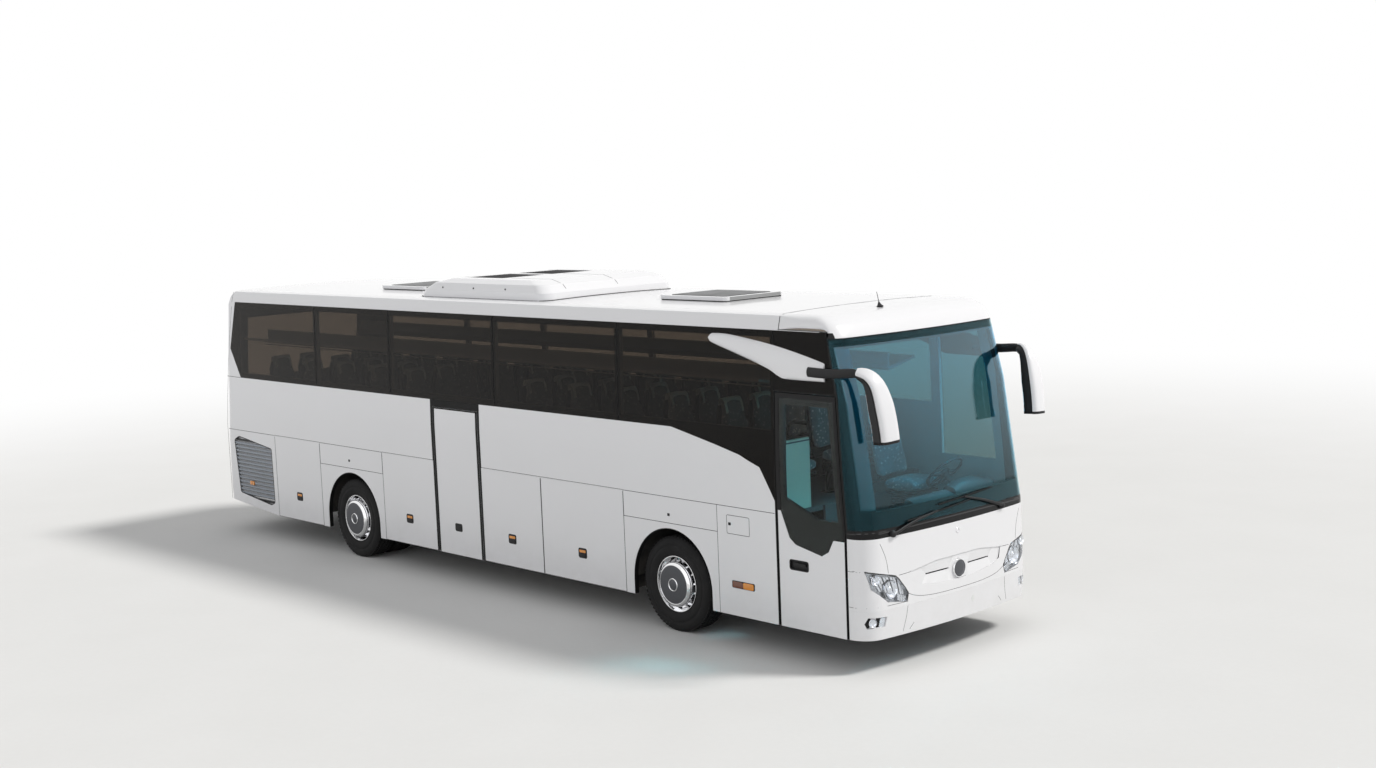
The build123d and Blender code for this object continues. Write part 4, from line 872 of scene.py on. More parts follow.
def tyre_section(grooves, depth):
    """Section of a tyre from bead to bead: (distance from its middle, radius)."""
    half = 0.149
    wall = [(-half + 0.029, 0.2895), (-half + 0.029, 0.301), (-half + 0.018, 0.312), (-half + 0.007, 0.335),
        (-half + 0.001, 0.372), (-half, 0.4), (-half + 0.0035, 0.404), (-half + 0.0035, 0.414),
        (-half + 0.001, 0.418), (-half + 0.005, 0.45), (-half + 0.013, 0.478), (-half + 0.026, 0.497),
        (-half + 0.042, 0.5045)]
    tread = []
    for g in grooves:
        tread += [(g - 0.007, TYRE_RADIUS), (g - 0.005, TYRE_RADIUS - depth),
            (g + 0.005, TYRE_RADIUS - depth), (g + 0.007, TYRE_RADIUS)]
    return wall + tread + [(-y, r) for y, r in reversed(wall)]


def make_wheels(sizes):
    """Tyres with tread and shoulder lugs, bright dished rims, and the grey covers with a bright edge."""
    for name in WHEELS:
        side = -1 if name.endswith("right") else 1
        rear = name.startswith("rear")
        hub = REAR_HUB if rear else FRONT_HUB
        body = f"wheel_{name}"
        centre = Vector((hub.x, side * (HALF - TYRE_INSET), hub.z))
        centres = [centre] + ([centre - Vector((0, side * TWIN_SPACING, 0))] if rear else [])
        rubber = bmesh.new()
        for c in centres:
            lathe(rubber, tyre_section((-0.082, -0.028, 0.028, 0.082), sizes.groove_depth), c, 72,
                closed=True)
        tyre = piece(f"tyre_{name}_dressed", rubber, "tyre", body, sharp=50)
        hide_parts(f"tyre_{name}")
        for k, c in enumerate(centres):
            for row, (y, width) in enumerate(TREAD_ROWS):
                lug = bmesh.new()
                turn = Matrix.Rotation(math.radians(14 if row % 2 else -14), 3, "Z")
                slab(lug, (-0.019, -width / 2, -0.006), (0.019, width / 2, 0.0038), 0.002, turn)
                repeat(f"tread_{name}_{k}_{row}", RING, lug, "tyre", body, count=sizes.lug_count,
                    radius=TYRE_RADIUS, phase=0.5 * (row % 2), centre=tuple(c + Vector((0, y, 0))))
        make_rim(name, side, rear, centre, body, sizes)


def make_rim(name, side, rear, centre, body, sizes):
    disc = -0.09 if rear else 0.02
    bright = bmesh.new()
    lathe(bright, [(0.1335, 0.3), (0.1345, 0.2965), (0.1335, 0.2925), (0.126, 0.2895), (0.118, 0.2865),
        (0.112, 0.2835), (0.098, 0.281), (0.07, 0.276), (0.045, 0.2655), (disc + 0.018, 0.245),
        (disc + 0.008, 0.215), (disc + 0.004, 0.18), (disc + 0.004, 0.115), (disc + 0.03, 0.105),
        (0.157, 0.1), (0.157, 0.06), (disc - 0.02, 0.06), (disc - 0.02, 0.11), (disc - 0.006, 0.18),
        (disc - 0.004, 0.235), (disc + 0.002, 0.262), (-0.1, 0.2735), (-0.118, 0.2765), (-0.126, 0.286),
        (-0.1335, 0.2955), (-0.1335, 0.3), (-0.123, 0.3003), (-0.1212, 0.2895), (0.1212, 0.2895),
        (0.123, 0.3003)], centre, 96, closed=True, side=side)
    if rear:
        inner = centre - Vector((0, side * TWIN_SPACING, 0))
        lathe(bright, [(0.1335, 0.3), (0.1335, 0.276), (0.112, 0.274), (0.112, 0.12), (0.168, 0.105),
            (0.168, 0.06), (0.062, 0.06), (0.062, 0.105), (0.094, 0.12), (0.094, 0.262), (-0.1, 0.2735),
            (-0.1335, 0.276), (-0.1335, 0.3), (-0.123, 0.3003), (-0.1212, 0.2895), (0.1212, 0.2895),
            (0.123, 0.3003)], inner, 64, closed=True, side=side)
    rim = piece(f"rim_{name}_dressed", bright, "chrome", body, sharp=32)
    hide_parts(f"rim_{name}")
    # Painted shade: a dark plug in each hand hole stands for the shade seen through it.
    slot = bmesh.new()
    outline = rounded([(-0.03, -0.011), (0.03, -0.011), (0.03, 0.011), (-0.03, 0.011)], 0.0105, 4)
    tilt = Matrix.Rotation(math.radians(-side * 38), 3, "X")
    rings = [[tilt @ Vector((x * s, y * s, h)) for x, y in outline]
        for s, h in ((1.12, -0.0022), (1.0, -0.003), (0.93, 0.0035))]
    join_rings(slot, rings, caps=True)
    y_slot = centre.y + side * 0.058
    repeat(f"hand_holes_{name}", RING, slot, "slots", body, "wheel_chrome", count=10, radius=0.2695,
        phase=0.25, centre=(centre.x, y_slot, centre.z))
    nut = bmesh.new()
    rings = []
    for y, r in ((0.0, 0.02), (0.006, 0.02), (0.007, 0.0155), (0.03, 0.015), (0.034, 0.01)):
        rings.append([Vector((r * math.sin(math.pi * k / 3), side * y, r * math.cos(math.pi * k / 3)))
            for k in range(6)])
    join_rings(nut, rings, caps=True)
    repeat(f"nuts_{name}", RING, nut, "chrome", body, count=10, radius=0.1675, phase=0.5,
        centre=(centre.x, centre.y + side * (disc + 0.004), centre.z))
    edge = bmesh.new()
    r = sizes.cover_radius
    rim_r = r - sizes.cover_shoulder
    lathe(edge, [(0.12, r - 0.012), (0.12, r - 0.003), (0.124, r), (0.148, r - 0.001), (0.162, r - 0.006),
        (0.172, r - 0.015), (0.1785, r - 0.026), (0.1815, rim_r), (0.1795, rim_r - 0.004),
        (0.16, rim_r - 0.004)], centre, 96, closed=True, side=side)
    lathe(edge, [(0.181, 0.058), (0.187, 0.0585), (0.1915, 0.0625), (0.1915, 0.0665), (0.187, 0.0705),
        (0.181, 0.071)], centre, 64, closed=True, side=side)
    piece(f"cover_edge_{name}", edge, "chrome", body, sharp=30)
    face = bmesh.new()
    lathe(face, [(0.16, 0.0), (0.16, rim_r - 0.004), (0.1792, rim_r - 0.004), (0.1802, rim_r - 0.012),
        (0.1808, rim_r - 0.05), (0.1814, 0.12), (0.1816, 0.0711), (0.1822, 0.0575), (0.1882, 0.053),
        (0.1912, 0.045), (0.1918, 0.0)], centre, 96, side=side)
    piece(f"cover_{name}", face, "cover", body, sharp=40)


# Side trim
# Lock of each flap: name of the flap, place along the side and height
LOCKS = (
    ("flap_{}_service", -4.21, 0.66), ("flap_{}_rear", -1.61, 0.66), ("flap_{}_middle", 0.47, 0.66),
    ("flap_{}_front", 1.74, 0.66),
)


def arch_path(hub, grow=0.0):
    """Path round a wheel arch from the skirt up and over."""
    r = ARCH_RADIUS + grow
    turns = [math.pi * i / 28 for i in range(29)]
    over = [(hub.x - r * math.cos(turn), hub.z + r * math.sin(turn)) for turn in turns]
    return [(hub.x - r, SKIRT + 0.002)] + over + [(hub.x + r, SKIRT + 0.002)]


def make_side_trim(sizes):
    """Arch lips, panel lines, locks, markers, air inlets, pane joints and door seals."""
    width = sizes.seam_width
    for side, name in SIDES:
        face = SIDE[side]
        lips, liners, lines, gaps = bmesh.new(), bmesh.new(), bmesh.new(), bmesh.new()
        for hub in (FRONT_HUB, REAR_HUB):
            ribbon(lips, face, arch_path(hub, 0.013), 0.026, 0.0035, 0.002)
            ribbon(liners, face, arch_path(hub, -0.004), 0.01, -0.003, 0.05)
        piece(f"arch_lips_{name}", lips, "shell")
        piece(f"arch_liners_{name}", liners, "seal")
        belt = BELT + 0.003
        (rear_a, rear_b), (front_a, front_b) = REAR_PANEL, FRONT_PANEL
        runs = [[(-6.03, belt), (-4.79, belt)], [(-3.63, belt), (-2.17, belt)],
            [(2.47, belt), (4.73, belt)], [(rear_a, SHELF), (rear_a, belt)],
            [(rear_b, SHELF), (rear_b, belt)], [(rear_a, SHELF), (-3.5, 1.172), (-2.3, 1.172),
            (rear_b, SHELF)], [(front_a, SHELF), (front_b, SHELF)],
            [(front_b, SKIRT + 0.002), (front_b, belt)], [(front_a, SHELF), (front_a, belt)],
            [(-5.985, 2.203), (-5.62, SILL)]]
        for run in runs:
            ribbon(lines, face, dense(run, 0.5), width, LINE_LIFT)
        service = soft_box((4.21, 1.265), 0.32, 0.19, 0.018)
        ribbon(lines, face, service, width * 0.9, LINE_LIFT, closed=True)
        piece(f"panel_lines_{name}", lines, "line")
        tail_seam = [(-6.06, 0.445), (-6.06, 1.5), (-5.91, 2.6), (-5.77, 3.262)]
        ribbon(gaps, face, dense(tail_seam, 0.1), 0.005, LINE_LIFT)
        if side > 0:
            nose_seam = [(NOSE_SEAM, 0.34), (NOSE_SEAM, 1.36), (5.56, 2.66)]
            ribbon(gaps, face, dense(nose_seam, 0.1), 0.006, LINE_LIFT)
        for x in CAP_SEAMS:
            ribbon(gaps, face, dense([(x, 3.258), (x, 3.392)], 0.05), 0.006, LINE_LIFT)
        ribbon(gaps, face, dense([(4.82, 3.2605), (5.4, 3.2605)], 0.3), 0.004, LINE_LIFT)
        for x in PANE_JOINTS:
            ribbon(gaps, face, [(x, SILL + 0.004), (x, GLASS_TOP - 0.002)], 0.012, 0.0005)
        ribbon(gaps, face, [(4.748, 1.6 if side < 0 else 1.66), (4.748, GLASS_TOP - 0.002)], 0.012, 0.0005)
        piece(f"shadow_gaps_{name}", gaps, "seam")
        top_lines = bmesh.new()
        for pattern, x, z in LOCKS:
            flap = pattern.format(name)
            make_lock(f"lock_{flap}", face, (x, z), flap)
            low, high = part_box(flap)
            edge = bmesh.new()
            around = box_outline(((low.x + high.x) / 2, (low.z + high.z) / 2), high.x - low.x - width,
                high.z - low.z - width)
            near, far = [(x, high.z - 0.014) for x, _ in around[:2]]
            ribbon(edge, face, dense([near, around[0], around[1], far], 0.5), width * 0.9, LINE_LIFT)
            piece(f"edge_{flap}", edge, "line", flap)
            over = high.z + 0.0065
            ribbon(top_lines, face, dense([(low.x, over), (high.x, over)], 0.5), width * 0.8, LINE_LIFT)
        piece(f"flap_top_lines_{name}", top_lines, "line")
        small = bmesh.new()
        for spot in ((-2.93, 1.27), (3.18, 1.26), (4.09, 1.27)):
            patch(small, face, soft_box(spot, 0.036, 0.03, 0.008), 0.002, 0.003, crown=0.001)
        piece(f"small_locks_{name}", small, "satin")
        marker_base, marker, brown = bmesh.new(), bmesh.new(), bmesh.new()
        patch(marker_base, face, soft_box((4.26, 0.655), 0.32, 0.075, 0.016), 0.003, 0.004)
        for x, lens in ((4.185, brown), (4.335, marker)):
            patch(lens, face, soft_box((x, 0.655), 0.146, 0.064, 0.02), 0.009, 0.008, crown=0.003)
        for x in (-5.5, -5.44):
            patch(marker, face, soft_box((x, 0.72), 0.05, 0.055, 0.02), 0.006, 0.014, crown=0.002)
        piece(f"marker_bases_{name}", marker_base, "satin")
        piece(f"markers_{name}", marker, "amber")
        piece(f"markers_brown_{name}", brown, "brown")
        make_inlet(face, side, name)
    make_door_trim()


def make_lock(name, face, spot, body):
    """Recessed flap lock: a dark cup with an amber reflector over a black handle."""
    cup, glow = bmesh.new(), bmesh.new()
    x, z = spot
    ribbon(cup, face, soft_box(spot, 0.136, 0.104, 0.022), 0.01, 0.0022, closed=True)
    patch(cup, face, soft_box(spot, 0.132, 0.1, 0.02), 0.0008, 0.003)
    patch(cup, face, soft_box((x, z - 0.023), 0.1, 0.036, 0.01), 0.005, 0.005, crown=0.002)
    patch(glow, face, soft_box((x, z + 0.021), 0.104, 0.03, 0.008), 0.0045, 0.005, crown=0.002)
    piece(name, cup, "satin", body)
    piece(f"{name}_reflector", glow, "amber", body)


def make_inlet(face, side, name):
    """Louvres and rim of the air inlet."""
    outline = [(-5.89, 1.3), (-5.76, 1.36), (-4.89, 1.25), (-4.88, 0.5), (-4.98, 0.46), (-5.8, 0.56)]
    rim = bmesh.new()
    ribbon(rim, face, rounded(outline, 0.03), 0.012, 0.0015, closed=True)
    piece(f"inlet_rim_{name}", rim, "line")
    louvre = bmesh.new()
    length, teeth = 0.9, 10
    for k in range(teeth):
        a, b = k * length / teeth, (k + 0.975) * length / teeth
        section = [(0.0, 0.03), (-0.0065, 0.0), (-0.0105, 0.0), (-0.006, 0.031)]
        join_rings(louvre, [[Vector((x, side * y, z)) for y, z in section] for x in (a, b)], caps=True)
    repeat(f"inlet_louvres_{name}", ROW, louvre, "louvre", count=14,
        start=(-5.795, side * (HALF - 0.0015), 0.545), step=(-0.0065, 0, 0.054), growth=(0.0085, 0, 0))


def make_door_trim():
    """Rubber edges of both doors, the recessed handle and the middle door's lock."""
    face = SIDE[-1]
    gap = 0.01
    jambs = bmesh.new()
    for node, body, leaf_width, jamb_width in (("middle_door", "middle_door_leaf", 0.034, 0.028),
            ("front_door", "front_door_leaf", 0.012, 0.01)):
        low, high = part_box(node)
        bottom, top = low.z + 0.003, high.z
        seals = bmesh.new()
        for edge, way in ((low.x, 1), (high.x, -1)):
            upper = top - 0.002 if node == "middle_door" else 1.48 if way > 0 else 1.27
            x = edge + way * (leaf_width / 2 + 0.0005)
            ribbon(seals, face, dense([(x, bottom), (x, upper)], 0.05), leaf_width, 0.0022)
            if node == "middle_door" or way > 0:
                x = edge - way * (gap + jamb_width / 2)
                jamb_top = SILL if node == "middle_door" else upper
                ribbon(jambs, face, dense([(x, bottom), (x, jamb_top)], 0.05), jamb_width, 0.0016)
        if node == "middle_door":
            ribbon(seals, face, [(low.x, top - 0.01), (high.x, top - 0.01)], 0.018, 0.0022)
            reach = gap + jamb_width
            middle_z = (top + gap + SILL) / 2
            ribbon(jambs, face, [(low.x - reach, middle_z), (high.x + reach, middle_z)], SILL - top - gap,
                0.0016)
        piece(f"{node}_seals", seals, "seal", body)
    piece("door_jambs", jambs, "seal")
    handle = bmesh.new()
    spot = (5.04, 0.967)
    patch(handle, face, soft_box(spot, 0.236, 0.086, 0.02), -0.02, 0.004)
    ribbon(handle, face, soft_box(spot, 0.244, 0.094, 0.022), 0.012, 0.003, 0.022, closed=True)
    patch(handle, face, soft_box((5.05, 0.975), 0.16, 0.03, 0.014), 0.002, 0.012, crown=0.002)
    piece("front_door_handle", handle, "satin", "front_door_leaf")
    cup = bmesh.new()
    ribbon(cup, face, soft_box(MIDDLE_LOCK, 0.134, 0.088, 0.02), 0.01, 0.0022, closed=True)
    patch(cup, face, soft_box(MIDDLE_LOCK, 0.128, 0.082, 0.018), 0.001, 0.003)
    patch(cup, face, soft_box((-0.58, 0.667), 0.096, 0.042, 0.012), 0.005, 0.005, crown=0.002)
    piece("middle_door_lock", cup, "satin", "middle_door_leaf")


# Mirrors
def make_mirrors():
    """White blades along the glass, black arms, white shells and the glass that looks back."""
    for side, name in SIDES:
        top = [(3.868, 3.15), (3.885, 3.186), (3.935, 3.197), (4.17, 3.19), (4.68, 3.122), (5.05, 3.052),
            (5.38, 2.975), (5.43, 2.955)]
        low = [(3.868, 3.15), (3.872, 3.122), (3.92, 3.092), (4.3, 2.988), (4.67, 2.88), (4.82, 2.812),
            (4.95, 2.788), (5.43, 2.788)]
        top, low = smooth_path(top, 5), smooth_path(low, 5)
        white = bmesh.new()
        rings = []
        for (xa, za), (xb, zb) in zip(top, low):
            ring = []
            for k in range(9):
                t = k / 8
                x, z = xa + (xb - xa) * t, za + (zb - za) * t
                crown = math.sin(math.pi * t) ** 0.55
                ring.append(Vector((x, side * (side_y(z) + 0.004 + 0.026 * crown), z)))
            ring.append(Vector((xb, side * (side_y(zb) + 0.0015), zb)))
            ring.append(Vector((xa, side * (side_y(za) + 0.0015), za)))
            rings.append(ring)
        join_rings(white, rings, caps=True)
        blade = piece(f"wing_blade_{name}", white, "shell", sharp=60)
        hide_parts(f"mirror_{name}")
        spine = smooth_path([(5.235, side * 1.266, 2.876), (5.4, side * 1.272, 2.872),
            (5.6, side * 1.27, 2.878), (5.8, side * 1.256, 2.892), (5.925, side * 1.228, 2.872),
            (6.0, side * 1.2, 2.8), (6.048, side * 1.182, 2.68), (6.084, side * 1.17, 2.52),
            (6.106, side * 1.16, 2.36), (6.112, side * 1.155, 2.272)], 4)
        count = len(spine)
        arm = bmesh.new()
        outer = int(count * 0.62)
        tube(arm, spine[:outer], [0.05 - 0.01 * min(1, i / count * 2) for i in range(outer)], 16, flat=0.58)
        piece(f"mirror_arm_{name}", arm, "satin", sharp=60)
        make_mirror_head(side, name, spine)


def make_mirror_head(side, name, spine):
    """White shell facing ahead and outwards, black frame behind it, and two glasses in the frame."""
    shell, holder, glass = bmesh.new(), bmesh.new(), bmesh.new()
    count = len(spine)
    start = int(count * 0.36)
    front_rings, back_rings = [], []
    for i in range(start, count):
        share = (i - start) / (count - 1 - start)
        before, after = Vector(spine[max(i - 1, 0)]), Vector(spine[min(i + 1, count - 1)])
        along = (after - before).normalized()
        facing = Vector((0.985, side * 0.16, 0.25 * (1 - share)))
        ahead = (facing - along * facing.dot(along)).normalized()
        across = along.cross(ahead).normalized()
        grow = min(1, share * 1.7) ** 0.75
        width = 0.04 + 0.062 * grow
        front, rear = 0.026 + 0.03 * grow, 0.055 + 0.072 * grow
        centre = Vector(spine[i]) + ahead * 0.006
        outwards = across if across.y * side > 0 else -across
        arc = [math.pi * k / 16 for k in range(17)]
        centre = centre - outwards * 0.01
        outer = [centre + across * (width * full(math.cos(a), 0.62))
            + ahead * (0.002 + front * math.sin(a) ** 0.6) for a in arc]
        inner = [centre + across * (width * 0.93 * full(math.cos(a), 0.62))
            + ahead * (front * 0.86 * math.sin(a) ** 0.6 - 0.001) for a in reversed(arc)]
        front_rings.append(outer + inner)
        behind = centre + outwards * (0.016 + 0.004 * grow)
        back_rings.append([behind + across * (width * 0.99 * full(math.cos(a), 0.5))
            - ahead * (rear * math.sin(a) ** 0.45) for a in arc])
    join_rings(shell, front_rings, caps=True)
    piece(f"mirror_shell_{name}", shell, "shell", sharp=45)
    tip = [p + Vector((0, 0, -0.026)) for p in back_rings[-1]]
    join_rings(holder, back_rings + [tip], caps=True)
    foot = front_rings[-1][:17] + back_rings[-1][::-1]
    join_rings(holder, [[p + Vector((0, 0, drop)) for p in foot] for drop in (-0.0015, -0.026)], caps=True)
    piece(f"mirror_frame_{name}", holder, "satin", sharp=45)
    panes = [ring for ring in back_rings if ring[0].z < 2.76]
    for low, high in ((0.08, 0.74), (0.8, 0.97)):
        rows = []
        for ring in panes[int(len(panes) * low):max(int(len(panes) * high), int(len(panes) * low) + 1) + 1]:
            left, right = ring[4], ring[12]
            out = (ring[8] - (ring[0] + ring[-1]) / 2).normalized()
            line = [left + (right - left) * s + out * 0.0025 for s in (0.0, 0.25, 0.5, 0.75, 1.0)]
            rows.append(line + [p - out * 0.007 for p in reversed(line)])
        if len(rows) > 1:
            join_rings(glass, rows, caps=True)
    piece(f"mirror_glass_{name}", glass, "mirror", sharp=45)


# Nose
def make_nose():
    """Headlamps, fog lamps, panel lines, round plain badge, painted shade in the slots, tow cover and
    wipers.
    """
    lines, dark, bright = bmesh.new(), bmesh.new(), bmesh.new()
    for side in (-1, 1):
        for run in ([(-1.086, 1.262), (-1.02, 1.11), (-0.996, 0.966)],
                [(-0.86, 0.925), (-0.74, 0.93), (-0.7, 0.937)], [(-0.81, 0.366), (-0.775, 0.5),
                (-0.759, 0.612)], [(-0.72, 0.372), (-0.665, 0.43)],
                [(-0.761, 0.735), (-0.64, 0.69), (-0.5, 0.667), (-0.3, 0.655), (0.0, 0.652)]):
            path = mirrored(smooth_path(run, 6), side)
            ribbon(lines, NOSE, path, 0.0042, LINE_LIFT)
        for turns, z in (((44, 66), 1.0), ((30, 66), 0.655)):
            path = [(side * (turns[0] + (turns[1] - turns[0]) * k / 10), z) for k in range(11)]
            ribbon(lines, CORNER, path, 0.0042, LINE_LIFT)
        # Painted shade: a dark strip along each slot stands for the shade inside it.
        slot = [(side * 0.152, 0.87), (side * 0.32, 0.87), (side * 0.488, 0.87)]
        ribbon(dark, NOSE, dense(slot, 0.06), 0.021, 0.0015, 0.004)
    piece("nose_panel_lines", lines, "line")
    seat = NOSE.at(0.0, BADGE_Z)
    spin_about(bright, [(-0.004, 0.094), (0.006, 0.094), (0.011, 0.0915), (0.012, 0.088), (0.01, 0.084),
        (0.004, 0.082), (-0.004, 0.082)], seat, AHEAD, 64)
    spin_about(bright, [(-0.006, 0.026), (0.004, 0.026), (0.0065, 0.023), (0.004, 0.0195),
        (-0.006, 0.0195)], NOSE.at(0.0, PIN_Z), AHEAD, 40)
    piece("nose_rings", bright, "chrome", sharp=30)
    disc = bmesh.new()
    spin_about(disc, [(-0.004, 0.0), (-0.004, 0.0815), (0.004, 0.0815), (0.0065, 0.078), (0.0085, 0.05),
        (0.0095, 0.0)], seat, AHEAD, 64)
    piece("nose_disc", disc, "cover", sharp=40)
    # Painted shade: a dark cone inside the small ring stands for the shade in its hole.
    spin_about(dark, [(-0.01, 0.0), (-0.002, 0.019), (-0.01, 0.019)], NOSE.at(0.0, PIN_Z), AHEAD, 32)
    piece("nose_slots", dark, "slots")
    tow = bmesh.new()
    oval = [(0.217 + 0.019 * math.cos(a), 0.498 + 0.031 * math.sin(a))
        for a in (math.tau * k / 24 for k in range(24))]
    ribbon(tow, NOSE, oval, 0.004, 0.0012, closed=True)
    patch(tow, NOSE, oval, 0.0008, 0.002)
    piece("tow_cover", tow, "plate")
    for side, name in SIDES:
        make_headlamp(side, name)
        make_fog_lamps(side, name)
    make_wipers()


HEADLAMP = ((-1.228, 1.006), (-0.902, 0.928), (-0.745, 0.742), (-0.765, 0.654), (-1.018, 0.694),
    (-1.186, 0.826))


def make_headlamp(side, name):
    """Dark-rimmed headlamp with a clear lens, bright facets, two bowls and an indicator strip."""
    shape = rounded(mirrored(HEADLAMP, side), 0.035, 5)
    lens, house, facets, bezel, amber = (bmesh.new() for _ in range(5))
    patch(lens, NOSE, shape, 0.0, 0.003, cell=0.04)
    lamp = piece(f"headlamp_lens_{name}", lens, "lens", sharp=50)
    if side < 0:
        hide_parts("front_lamps")
    patch(house, NOSE, shape, -0.046, 0.004, cell=0.05)
    ribbon(house, NOSE, shape, 0.006, -0.004, 0.044, closed=True)
    piece(f"headlamp_housing_{name}", house, "housing")
    brow = smooth_path([(-1.222, 0.999), (-1.06, 0.962), (-0.905, 0.922), (-0.82, 0.835), (-0.752, 0.738),
        (-0.768, 0.665)], 6)
    ribbon(bezel, NOSE, mirrored(brow, side), 0.009, 0.0012, 0.006)
    piece(f"headlamp_bezel_{name}", bezel, "black")
    for k in range(9):
        t = k / 8
        a = (-1.19 + 0.36 * t, 0.955 - 0.055 * t)
        b = (-1.1 + 0.3 * t, 0.8 - 0.075 * t)
        strip = [(a[0] * -side, a[1]), ((a[0] + 0.034) * -side, a[1] - 0.008),
            ((b[0] + 0.026) * -side, b[1] - 0.004), (b[0] * -side, b[1])]
        patch(facets, NOSE, strip, -0.03 + 0.006 * (k % 2), 0.006, cell=0.2)
    for (y, z), r, deep in (((-1.145, 0.915), 0.05, 0.03), ((-0.965, 0.8), 0.088, 0.044)):
        spot = NOSE.at(y * -side, z, -0.008)
        out = (NOSE.out(y * -side, z) * 0.35 + AHEAD).normalized()
        spin_about(facets, [(-deep, r * 0.2), (-deep * 0.92, r * 0.42), (-deep * 0.72, r * 0.66),
            (-deep * 0.38, r * 0.86), (-0.002, r * 0.97), (0.002, r), (-0.004, r * 1.05)], spot, out, 40)
        spin_about(facets, [(-deep * 0.9, 0.0), (-deep * 0.9, r * 0.3), (-deep * 0.35, r * 0.34),
            (-deep * 0.15, r * 0.22), (-deep * 0.1, 0.0)], spot, out, 28)
    piece(f"headlamp_reflectors_{name}", facets, "reflector", sharp=25)
    for k in range(5):
        y, z = -0.872 + 0.022 * k, 0.712 - 0.008 * k
        patch(amber, NOSE, soft_box((y * -side, z), 0.017, 0.062, 0.005), -0.014, 0.016, cell=0.2)
    piece(f"headlamp_indicator_{name}", amber, "reflector", sharp=25)


def make_fog_lamps(side, name):
    glass, bowl, dark = bmesh.new(), bmesh.new(), bmesh.new()
    outline = [(-1.233, 0.502), (-1.213, 0.556), (-1.03, 0.549), (-1.05, 0.463), (-1.217, 0.455)]
    patch(dark, NOSE, rounded(mirrored(outline, side), 0.02), 0.003, 0.003)
    piece(f"fog_lamp_seat_{name}", dark, "satin")
    spot = NOSE.at(-1.165 * -side, 0.505, 0.004)
    out = (NOSE.out(-1.165 * -side, 0.505) + Vector((0.6, 0, 0))).normalized()
    spin_about(bowl, [(0.0, 0.0), (0.001, 0.016), (0.004, 0.027), (0.013, 0.037), (0.017, 0.04),
        (0.014, 0.043), (0.0, 0.044)], spot, out, 40)
    cell = mirrored(((-1.112, 0.462), (-1.054, 0.466), (-1.036, 0.545), (-1.098, 0.547)), side)
    patch(bowl, NOSE, rounded(cell, 0.01), 0.008, 0.004)
    piece(f"fog_lamp_bowls_{name}", bowl, "reflector", sharp=30)
    spin_about(glass, [(0.016, 0.0), (0.018, 0.02), (0.0165, 0.039), (0.0145, 0.039), (0.0145, 0.0)], spot,
        out, 40)
    patch(glass, NOSE, rounded(cell, 0.01), 0.013, 0.004, cell=0.03)
    piece(f"fog_lamp_lenses_{name}", glass, "lens", sharp=45)


# Pivot, elbow and tip of each arm, and the ends of its blade
WIPERS = (
    ((-0.922, 1.335), (-0.62, 1.415), (-0.3, 1.462), ((-0.72, 1.425), (0.21, 1.49))),
    ((0.742, 1.35), (0.42, 1.455), (0.12, 1.53), ((-0.27, 1.515), (0.6, 1.555))),
)


def make_wipers():
    """Two wipers parked across the screen's foot, and the cowl's strips."""
    arms, blades, cowl = bmesh.new(), bmesh.new(), bmesh.new()
    for pivot, elbow, tip, blade in WIPERS:
        spots = [NOSE.at(*p, lift) for p, lift in zip(smooth_path([pivot, elbow, tip], 6),
            [0.03 + 0.004 * math.sin(k * 0.26) for k in range(13)])]
        tube(arms, spots, [0.017 - 0.0007 * k for k in range(13)], 10, flat=0.6)
        spin_about(arms, [(-0.01, 0.034), (0.022, 0.034), (0.034, 0.026), (0.042, 0.012), (0.043, 0.0)],
            NOSE.at(*pivot), NOSE.out(*pivot), 28)
        line = dense(blade, 0.07)
        tube(blades, [NOSE.at(*p, 0.02) for p in line], 0.008, 8, flat=0.7)
        tube(blades, [NOSE.at(*p, 0.009) for p in line], 0.0045, 6, flat=0.6)
    piece("wiper_arms", arms, "satin", sharp=60)
    piece("wiper_blades", blades, "seal", sharp=60)
    path = [(y / 20 * 1.1, 1.375 - 0.02 * (y / 20) ** 2) for y in range(-20, 21)]
    ribbon(cowl, NOSE, path, 0.014, 0.004, 0.003)
    piece("cowl_strip", cowl, "black")
    edge = bmesh.new()
    for side in (-1, 1):
        path = [(side * (37 + 27 * k / 12), 1.372 - 0.001 * k) for k in range(13)]
        ribbon(edge, CORNER, path, 0.01, 0.002, 0.003)
    piece("cowl_corners", edge, "black")


# Roof
def cut_copy(node, height, upper):
    """Part of a node's mesh above or below one height, closed at the cut."""
    bm = bmesh.new()
    bm.from_mesh(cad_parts[node].data)
    bmesh.ops.remove_doubles(bm, verts=bm.verts, dist=WELD)
    parts = bm.verts[:] + bm.edges[:] + bm.faces[:]
    cut = bmesh.ops.bisect_plane(bm, geom=parts, dist=1e-6, plane_co=(0, 0, height), plane_no=(0, 0, 1),
        clear_inner=upper, clear_outer=not upper)
    rim = [e for e in cut["geom_cut"] if isinstance(e, bmesh.types.BMEdge)]
    bmesh.ops.triangle_fill(bm, edges=rim, use_beauty=True)
    return bm


def evaluated_mesh(host):
    """Mesh of an object with its modifiers, which are then removed."""
    mesh = bpy.data.meshes.new_from_object(host.evaluated_get(bpy.context.evaluated_depsgraph_get()))
    host.modifiers.clear()
    host.data = mesh
    return mesh


